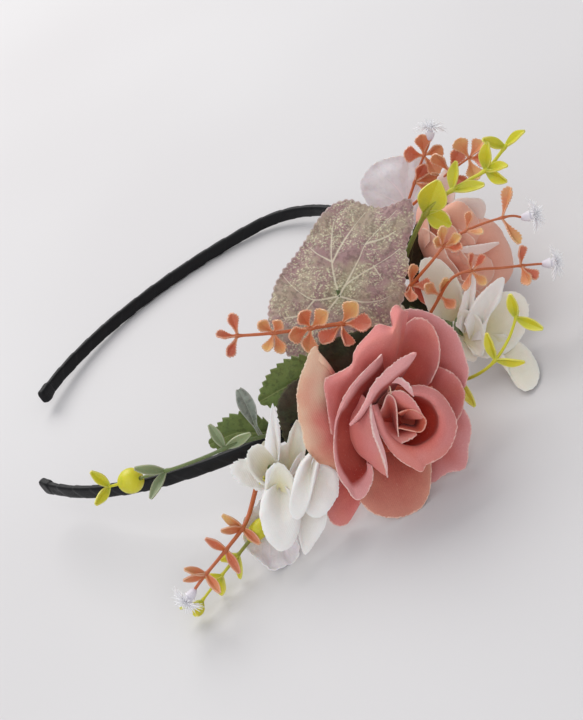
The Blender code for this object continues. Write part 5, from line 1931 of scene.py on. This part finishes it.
CORAL_SPRIGS = (
    Sprig(
        "coral_sprig_upper_spray", "coral_sprig_upper", Body.CROWN,
        ((-59.5, 2.8, 3.6), (-60, 4.5, 9.5), (-63.7, 3.6, 18), (-73.2, -2.5, 23.5), (-84, -4.5, 28),
         (-93, -5, 32)),
        (
            Leaflet(0.37, (62, 0, 228, 285), 8.2, 4.6, 8, 20, TOOTHED),
            Leaflet(0.55, (130, 42, 205, 258), 7.8, 4.2, 10, 22, TOOTHED),
            Leaflet(0.76, (142, 300, 255, 60), 6.0, 2.8, 12, 24, TOOTHED),
            Leaflet(0.97, (115, 180, 238), 6.4, 2.5, 10, 20, TOOTHED),
        ),
        0.7,
    ),
    Sprig(
        "coral_sprig_low_spray", "coral_sprig_low", Body.NEAR,
        ((-104.5, 4, -5), (-108.5, 9, -9.6), (-111.8, 16, -12), (-116, 25, -11.6), (-121.2, 32.5, -12.4),
         (-123.9, 34.7, -14)),
        (
            Leaflet(0.44, (150, 176, -34), 7.4, 1.9, 2, 14, STAR),
            Leaflet(0.65, (148, -62), 7.4, 1.9, 2, 14, STAR),
            Leaflet(0.86, (158, 200, -50), 7.0, 1.9, 2, 14, STAR),
        ),
        0.72,
    ),
    Sprig(
        "coral_sprig_outer_spray", "coral_sprig_outer", Body.CROWN,
        ((-35, 2, 3.4), (-38.5, 9, 8.5), (-38.5, 17.4, 13.5), (-36.2, 25, 17), (-34.1, 33.3, 17),
         (-32.2, 41.6, 15), (-31.3, 44.8, 12.4)),
        (
            Leaflet(0.19, (95, 262, -10), 7.0, 3.2, 12, 24, TOOTHED),
            Leaflet(0.51, (100, 165, -8, 35), 6.8, 2.6, 18, 30, TOOTHED),
            Leaflet(0.665, (75, -12), 6.4, 2.0, 22, 30, TOOTHED),
            Leaflet(0.88, (70, -55), 8.2, 3.0, 8, 18, TOOTHED),
        ),
        0.55,
    ),
    Sprig(
        "coral_sprig_side_spray", "coral_sprig_side", Body.CROWN,
        ((-37.5, 2, -3.6), (-38.8, 9, -3), (-38.5, 21, 6.6), (-37.5, 29, 6), (-35.9, 34.2, 3),
         (-33.5, 41, -1), (-32.3, 44.6, -3.3)),
        (
            Leaflet(0.31, (80, 150, -40), 6.8, 2.8, 14, 26, TOOTHED),
            Leaflet(0.57, (110, 40, -50, -110), 6.2, 2.3, 18, 28, TOOTHED),
            Leaflet(0.87, (100, -45, -75), 7.0, 3.0, 8, 15, TOOTHED),
        ),
        0.55,
    ),
    Sprig(
        "coral_sprig_back_spray", "coral_sprig_back", Body.CROWN,
        ((-1, 2, 3.4), (0.5, 8, 8), (2.5, 15, 14), (3, 21, 20), (3, 25.5, 24), (2.9, 27, 25.8)),
        (
            Leaflet(0.58, (20, -20, 60), 8.0, 4.6, 10, 15, TOOTHED),
            Leaflet(0.84, (20, 100, 175, -60), 6.6, 4.4, 5, 15, TOOTHED),
        ),
        0.55,
    ),
    Sprig(
        "coral_sprig_back_branch", "coral_sprig_back", Body.CROWN,
        ((1.2, 10, 9.6), (-1.5, 18, 13), (-4, 27, 17), (-6.5, 35.5, 20)),
        (
            Leaflet(0.7, (140, 70, -40), 7.4, 4.2, 5, 15, TOOTHED),
            Leaflet(0.97, (120, 55, -10, -70), 7.2, 4.4, 5, 15, TOOTHED),
        ),
        0.5,
    ),
)
LIME_SPRIGS = (
    LimeSprig(
        "lime_sprig_arm_spray", "lime_sprig_arm", Body.NEAR,
        ((-97.5, 3.2, 3.6), (-101, 4.5, 5.2), (-105.8, 5.2, 6.6), (-113.9, 6.6, 7.2), (-122.3, 7.4, 7.6),
         (-131, 7.4, 7.8), (-138.7, 6.5, 7), (-147, 6.3, 6.4)),
        (
            Leaflet(0.24, (120, 25), 8.6, 2.2, 2, 12, STAR),
            Leaflet(0.58, (166, 238), 9, 2.2, 2, 12, STAR),
        ),
        0.62,
        finish=OLIVE,
    ),
    LimeSprig(
        "lime_sprig_low_spray", "lime_sprig_low", Body.NEAR,
        ((-107.2, 13.5, -15.4), (-110.6, 15.8, -16.2), (-115.6, 19.8, -17.8), (-121.6, 25.2, -20),
         (-126.6, 31.4, -21.8)),
        (
            Leaflet(0.42, (80, 260), 7.0, 2.6, 30, 20),
            Leaflet(0.66, (80, 260), 6.6, 2.6, 30, 20),
            Leaflet(0.95, (60, 180, 300), 6.0, 2.6, 45, 15),
        ),
        0.6,
        ((0.12, 2.6, 4.2),),
    ),
    LimeSprig(
        "lime_sprig_tall_spray", "lime_sprig_tall", Body.CROWN,
        ((-27, 2, 3.6), (-25.5, 6, 9), (-22.5, 17, 18.5), (-21.4, 25, 21.4), (-20.3, 32.9, 22),
         (-19.4, 39.6, 22.6), (-16.8, 48.2, 26)),
        (
            Leaflet(0.4, (66,), 11.0, 8.0, 2, 10, STAR),
            Leaflet(0.42, (-22,), 9.0, 5.0, 5, 12, STAR),
            Leaflet(0.6, (78, 4), 9.6, 3.2, 8, 22, STAR),
            Leaflet(0.8, (92, -34, 6), 8.4, 3.4, 14, 26, STAR),
            Leaflet(0.95, (40, 165), 7.4, 2.8, 12, 22, STAR),
        ),
        0.8,
    ),
    LimeSprig(
        "lime_sprig_outer_spray", "lime_sprig_outer", Body.CROWN,
        ((-54, 2.8, -3.8), (-55, 10, -11), (-55.5, 20, -13), (-54.5, 30, -10.5), (-52, 37, -5.5),
         (-49.5, 42, 1)),
        (
            Leaflet(0.42, (92, -62), 9.4, 2.3, 10, 20, STAR),
            Leaflet(0.68, (104, 2), 8.8, 2.6, 12, 22, STAR),
            Leaflet(0.96, (112, -20), 8.6, 2.5, 12, 22, STAR),
        ),
        0.62,
    ),
)


@dataclass(frozen=True)
class ArmTip:
    """The yellow pod and leaflets on the end of the long sprig beside the near arm."""

    name: str = "lime_sprig_arm_pod"
    route: Line = ((-134, 7.2, 7.5), (-138.7, 6.5, 7), (-143, 6.4, 6.7), (-147, 6.3, 6.4))

    def build(self) -> None:
        """Makes the pod and leaflets."""
        LimeSprig(
            self.name, "lime_sprig_arm", Body.NEAR, self.route,
            (Leaflet(0.88, (142, 232), 8, 2.4, 2, 12, STAR),),
            0.6,
            ((0.32, 3.7, 3.9),),
        ).build()


@dataclass(frozen=True)
class Floret:
    """A small floret at the end of a coral sprig: a cup with a fringe of fine bristles."""

    name: str
    node: str
    body: Body
    spot: Point
    facing: Point

    # Rings of bristles from the outside in: how many, their lean in radians, their length.
    RINGS = ((26, 1.2, 5.4), (24, 0.85, 5.6), (20, 0.5, 5.6), (10, 0.2, 5.2))
    BRISTLE = (0.24, 0.21, 0.19, 0.17, 0.15, 0.13, 0.08)

    def build(self) -> None:
        """Makes the floret."""
        kit = Kit(self.name)
        base = BAND.spots((self.spot,))[0]
        axis = BAND.heading(self.spot[0], self.facing)
        first = unit(np.cross(axis, BAND.normal))
        second = np.cross(axis, first)
        for ring, (count, lean, length) in enumerate(self.RINGS):
            for number in range(count):
                angle = 2 * math.pi * (number + 0.4 * ring) / count
                side = first * math.cos(angle) + second * math.sin(angle)
                tilt = lean + kit.rng.uniform(-0.12, 0.12)
                reach = length * (1 + kit.rng.uniform(-0.12, 0.12))
                tip = base + axis * reach * math.cos(tilt) + side * reach * math.sin(tilt)
                bend = base + axis * reach * 0.55 + side * reach * 0.28 * lean
                route = smooth_line((base.tolist(), bend.tolist(), tip.tolist()), 7)
                shade = {"along": np.linspace(0, 1, 7), "rim": np.full(7, 4.0)}
                kit.tube(route, np.array(self.BRISTLE), 6, shade)
        steps = np.linspace(0, 1, 8)
        cup = base + axis * (steps[:, None] * 2.6 - 1.0)
        kit.tube(cup, 0.5 + 1.1 * steps**0.6, 14, {"along": steps * 0.3, "rim": np.full(8, 4.0)})
        kit.make(FINISHES.of(FLORET_WHITE), self.body, "white_plastic", (self.node,))


FLORETS = (
    Floret("outer_floret_fringe", "outer_floret", Body.CROWN, (-31.2, 45.2, 12.2), (0.1, 0.9, -0.2)),
    Floret("side_floret_fringe", "side_floret", Body.CROWN, (-32.2, 45.0, -3.6), (0.1, 0.9, -0.3)),
    Floret("low_floret_fringe", "low_floret", Body.NEAR, (-124.2, 35.0, -14.2), (-0.7, 0.6, -0.3)),
    Floret("back_floret_fringe", "back_floret", Body.CROWN, (3.0, 27.4, 26.4), (0.3, 0.5, 0.8)),
)


# ---------------------------------------------------------------- headband


@dataclass(frozen=True)
class Ribbon:
    """The satin ribbon wound round the band, in two lengths that meet under the flowers."""

    half_width: float = 1.95
    half_thickness: float = 0.9
    pitch: float = 7.5
    lap: float = 0.16
    meeting: float = -30.0
    step: float = 0.45
    flex_reach: float = 7.0
    cloth: float = 0.22
    fold_cloth: float = 0.2
    end_gap: float = 0.6
    sides: int = 28
    fold_length: float = 6.2

    # The folded end: shares of its length, and how much thicker than the winding it is there.
    FOLD_STEPS = (0.0, 0.12, 0.25, 0.5, 0.7, 0.82, 0.92, 0.97, 1.0)
    FOLD_SWELL = (0.05, 0.35, 0.42, 0.5, 0.46, 0.3, -0.1, -0.5, -0.95)

    def build(self) -> None:
        """Makes both lengths and their folded ends."""
        near = self.length("near_ribbon_winding", self.meeting - 0.2, -(BAND.end - self.end_gap))
        far = self.length("far_ribbon_winding", self.meeting + 0.2, BAND.end - self.end_gap)
        satin = FINISHES.of(SATIN)
        piece = near.make(satin, None, "ribbon", ("near_arm_ribbon",))
        self.blend(piece, Body.NEAR, BAND.NEAR_FLEX, -1)
        piece = far.make(satin, None, "ribbon", ("far_arm_ribbon", "crown_ribbon"))
        self.blend(piece, Body.FAR, BAND.FAR_FLEX, 1)
        for name, node, body, sign in (
            ("near_folded_end", "near_tip_fold", Body.NEAR, -1),
            ("far_folded_end", "far_tip_fold", Body.FAR, 1),
        ):
            self.fold(name, sign).make(satin, body, "ribbon", (node,))

    def blend(self, piece: bpy.types.Object, body: Body, flex: float, sign: int) -> None:
        """Bakes a length's transform into its mesh."""
        reach = sign * self.flex_reach
        ends = BAND.spots(((flex - reach, 0, 0), (flex + reach, 0, 0))) * MM
        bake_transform(piece)

    def section(self, count: int) -> np.ndarray:
        """The ribbon's rounded flat section, as (out, up) shares."""
        turn = 2 * math.pi * np.arange(count) / count
        square = 4.0
        radius = (np.abs(np.cos(turn)) ** square + np.abs(np.sin(turn)) ** square) ** (-1 / square)
        return np.stack([np.cos(turn) * radius, np.sin(turn) * radius], axis=-1)

    def length(self, name: str, start: float, stop: float) -> Kit:
        """One length of the winding.

        Args:
            name: The piece's name.
            start: Where it starts along the band.
            stop: Where it ends.
        """
        kit = Kit(name)
        count = round(abs(stop - start) / self.step)
        along = np.linspace(start, stop, count)
        section = self.section(self.sides)
        slant = along[:, None] / self.pitch + section[None, :, 1] * 0.22
        slant = slant + 0.10 * np.abs(section[None, :, 0])
        phase = slant % 1.0
        lap = self.lap * (np.clip(phase / 0.1, 0, 1) - 1.0 * phase)
        grid = self.swept(along, section, lap)
        sag = ripple(grid, 6.0, kit.rng) * 0.05
        grid = self.swept(along, section, lap + sag)
        rim = np.minimum(phase, 1 - phase) * self.pitch
        shade = np.linspace(0, 1, count)[:, None] * np.ones(len(section))
        kit.sheet(grid, self.cloth, {"along": shade, "rim": rim}, True)
        return kit

    def swept(self, along: np.ndarray, section: np.ndarray, grow: np.ndarray) -> np.ndarray:
        """A grid of points for a section carried along the band, grown by a height at each point."""
        out = section[None, :, 0] * (self.half_thickness + grow)
        up = section[None, :, 1] * (self.half_width + grow)
        places = np.stack([np.broadcast_to(along[:, None], out.shape), out, up], axis=-1)
        return BAND.spots(places.reshape(-1, 3)).reshape(*out.shape, 3)

    def fold(self, name: str, sign: int) -> Kit:
        """The folded and glued end of the ribbon on one tip.

        Args:
            name: The piece's name.
            sign: Which arm, -1 for the near one.
        """
        kit = Kit(name)
        steps = np.array(self.FOLD_STEPS)
        along = sign * (BAND.end - 5.2 + self.fold_length * steps)
        swell = np.array(self.FOLD_SWELL)
        section = self.section(self.sides)
        fine = np.linspace(0, 1, 40)
        along = np.interp(fine, steps, along)
        swell = np.interp(fine, steps, swell)
        grow = swell[:, None] + 0.10 * np.sin(fine * 9)[:, None] * section[None, :, 1]
        grid = self.swept(along, section, grow)
        grid = grid + BAND.normal * (ripple(grid, 4.0, kit.rng) * 0.12)[..., None]
        shade = fine[:, None] * np.ones(len(section))
        kit.sheet(grid, self.fold_cloth, {"along": shade, "rim": np.full(shade.shape, 1.2)}, True)
        end = grid[-1]
        plug = np.stack([end, end.mean(axis=0) + (end - end.mean(axis=0)) * 0.05])
        traits = {"along": np.ones(plug.shape[:2]), "rim": np.full(plug.shape[:2], 1.2)}
        kit.sheet(plug, self.fold_cloth, traits, True)
        return kit


# ---------------------------------------------------------------- solids that stay


class HiddenPieces:
    """The solids that stay as they are and only get their finish."""

    FINISH_BY_ENDING = {"_strip": STEEL, "_stem": STALK, "_stalk": STALK, "_glue": GLUE}

    def build(self) -> None:
        """Dresses each of them."""
        for name, node in frame["nodes"].items():
            for ending, finish in self.FINISH_BY_ENDING.items():
                if name.endswith(ending):
                    node.data.materials.clear()
                    node.data.materials.append(FINISHES.of(finish))
                    LOG.info("%s: %s", name, finish.name)


# ---------------------------------------------------------------- studio


@dataclass(frozen=True)
class Lamp:
    """A soft rectangular lamp."""

    name: str
    place: tuple[float, float, float]
    aim: tuple[float, float, float]
    size: float
    power: float
    color: Color


class Studio:
    """The pale floor, the soft lamps and the camera."""

    AIM = np.array([-3.8, 7.1, 2.2])
    DISTANCE = 504.0
    LENS = 80.0
    LAMPS = (
        Lamp("key_lamp", (-0.2, 0.74, 0.85), (0.0, 0.0, 0.0), 1.05, 9.6, (1.0, 0.985, 0.96)),
        Lamp("fill_lamp", (-0.35, -0.85, 0.8), (0.0, 0.0, 0.0), 1.9, 7.0, (0.98, 0.99, 1.0)),
    )
    SKY = (0.93, 0.94, 0.97)
    SKY_STRENGTH = 0.46
    FLOOR_HALF = 2.5
    FLOOR_COLORS = ((0.66, 0.645, 0.655), (0.7, 0.69, 0.7))

    def build(self) -> None:
        """Makes the floor, the lamps, the sky and the camera."""
        self.floor()
        for lamp in self.LAMPS:
            self.lamp(lamp)
        self.sky()
        self.camera()
        view = bpy.context.scene.view_settings
        view.view_transform = "Standard"
        view.look = "None"

    @staticmethod
    def floor() -> None:
        """A wide, very slightly uneven pale table top."""
        mesh = bpy.data.meshes.new("floor")
        half = Studio.FLOOR_HALF
        corners = [(-half, -half, 0), (half, -half, 0), (half, half, 0), (-half, half, 0)]
        mesh.from_pydata(corners, [], [(0, 1, 2, 3)])
        graph = Graph("table_top")
        cloud = graph.noise(260.0, 2.0)
        grain = graph.noise(1.2, 3.0)
        color = graph.mix(cloud.between(0.35, 0.65), *Studio.FLOOR_COLORS)
        mesh.materials.append(
            graph.dress(
                Base_Color=color,
                Roughness=(0.62 + grain * 0.12).clamped(),
                Normal=graph.bump(grain, 0.01, 0.3),
                Specular_IOR_Level=0.3,
            )
        )
        floor = bpy.data.objects.new("floor", mesh)
        bpy.context.scene.collection.objects.link(floor)

    @staticmethod
    def aimed(place: np.ndarray, towards: np.ndarray, up: np.ndarray) -> Matrix:
        """The matrix of an object at a place that looks along -Z at another."""
        back = unit(place - towards)
        side = unit(np.cross(up, back))
        rise = np.cross(back, side)
        matrix = Matrix.Identity(4)
        for row in range(3):
            matrix[row] = (side[row], rise[row], back[row], place[row])
        return matrix

    def lamp(self, lamp: Lamp) -> None:
        """Makes one soft lamp."""
        data = bpy.data.lights.new(lamp.name, "AREA")
        data.shape = "DISK"
        data.size = lamp.size
        data.energy = lamp.power
        data.color = lamp.color
        made = bpy.data.objects.new(lamp.name, data)
        made.matrix_world = self.aimed(np.array(lamp.place), np.array(lamp.aim), np.array([0.0, 0.0, 1.0]))
        bpy.context.scene.collection.objects.link(made)

    def sky(self) -> None:
        """An even pale surround."""
        world = bpy.data.worlds.new("studio_surround")
        world.use_nodes = True
        background = world.node_tree.nodes["Background"]
        background.inputs["Color"].default_value = (*self.SKY, 1.0)
        background.inputs["Strength"].default_value = self.SKY_STRENGTH
        bpy.context.scene.world = world

    def camera(self) -> None:
        """The camera, straight in front of the open flowers."""
        data = bpy.data.cameras.new("camera")
        data.lens = self.LENS
        data.clip_start = 0.01
        camera = bpy.data.objects.new("camera", data)
        axes = Bench.axes()
        place = (self.AIM + axes[2] * self.DISTANCE) * MM
        camera.matrix_world = self.aimed(place, self.AIM * MM, axes[1])
        bpy.context.scene.collection.objects.link(camera)
        bpy.context.scene.camera = camera


def main() -> None:
    """Builds every part of the crown and the studio, in order."""
    builders: list[Callable[[], None]] = [
        HiddenPieces().build,
        Ribbon().build,
        LargeRose().build,
        SmallRose().build,
        NearBlossom().build,
        FarBlossom().build,
        ShadePaintedLeaves().build,
        MAUVE.build,
        LILAC.build,
        LOW_LILAC.build,
        *(leaf.build for leaf in LONG_LEAVES),
        *(sprig.build for sprig in (*CORAL_SPRIGS, *LIME_SPRIGS)),
        ArmTip().build,
        *(floret.build for floret in FLORETS),
        Studio().build,
    ]
    for build in builders:
        build()


if __name__ == "__main__":
    main()
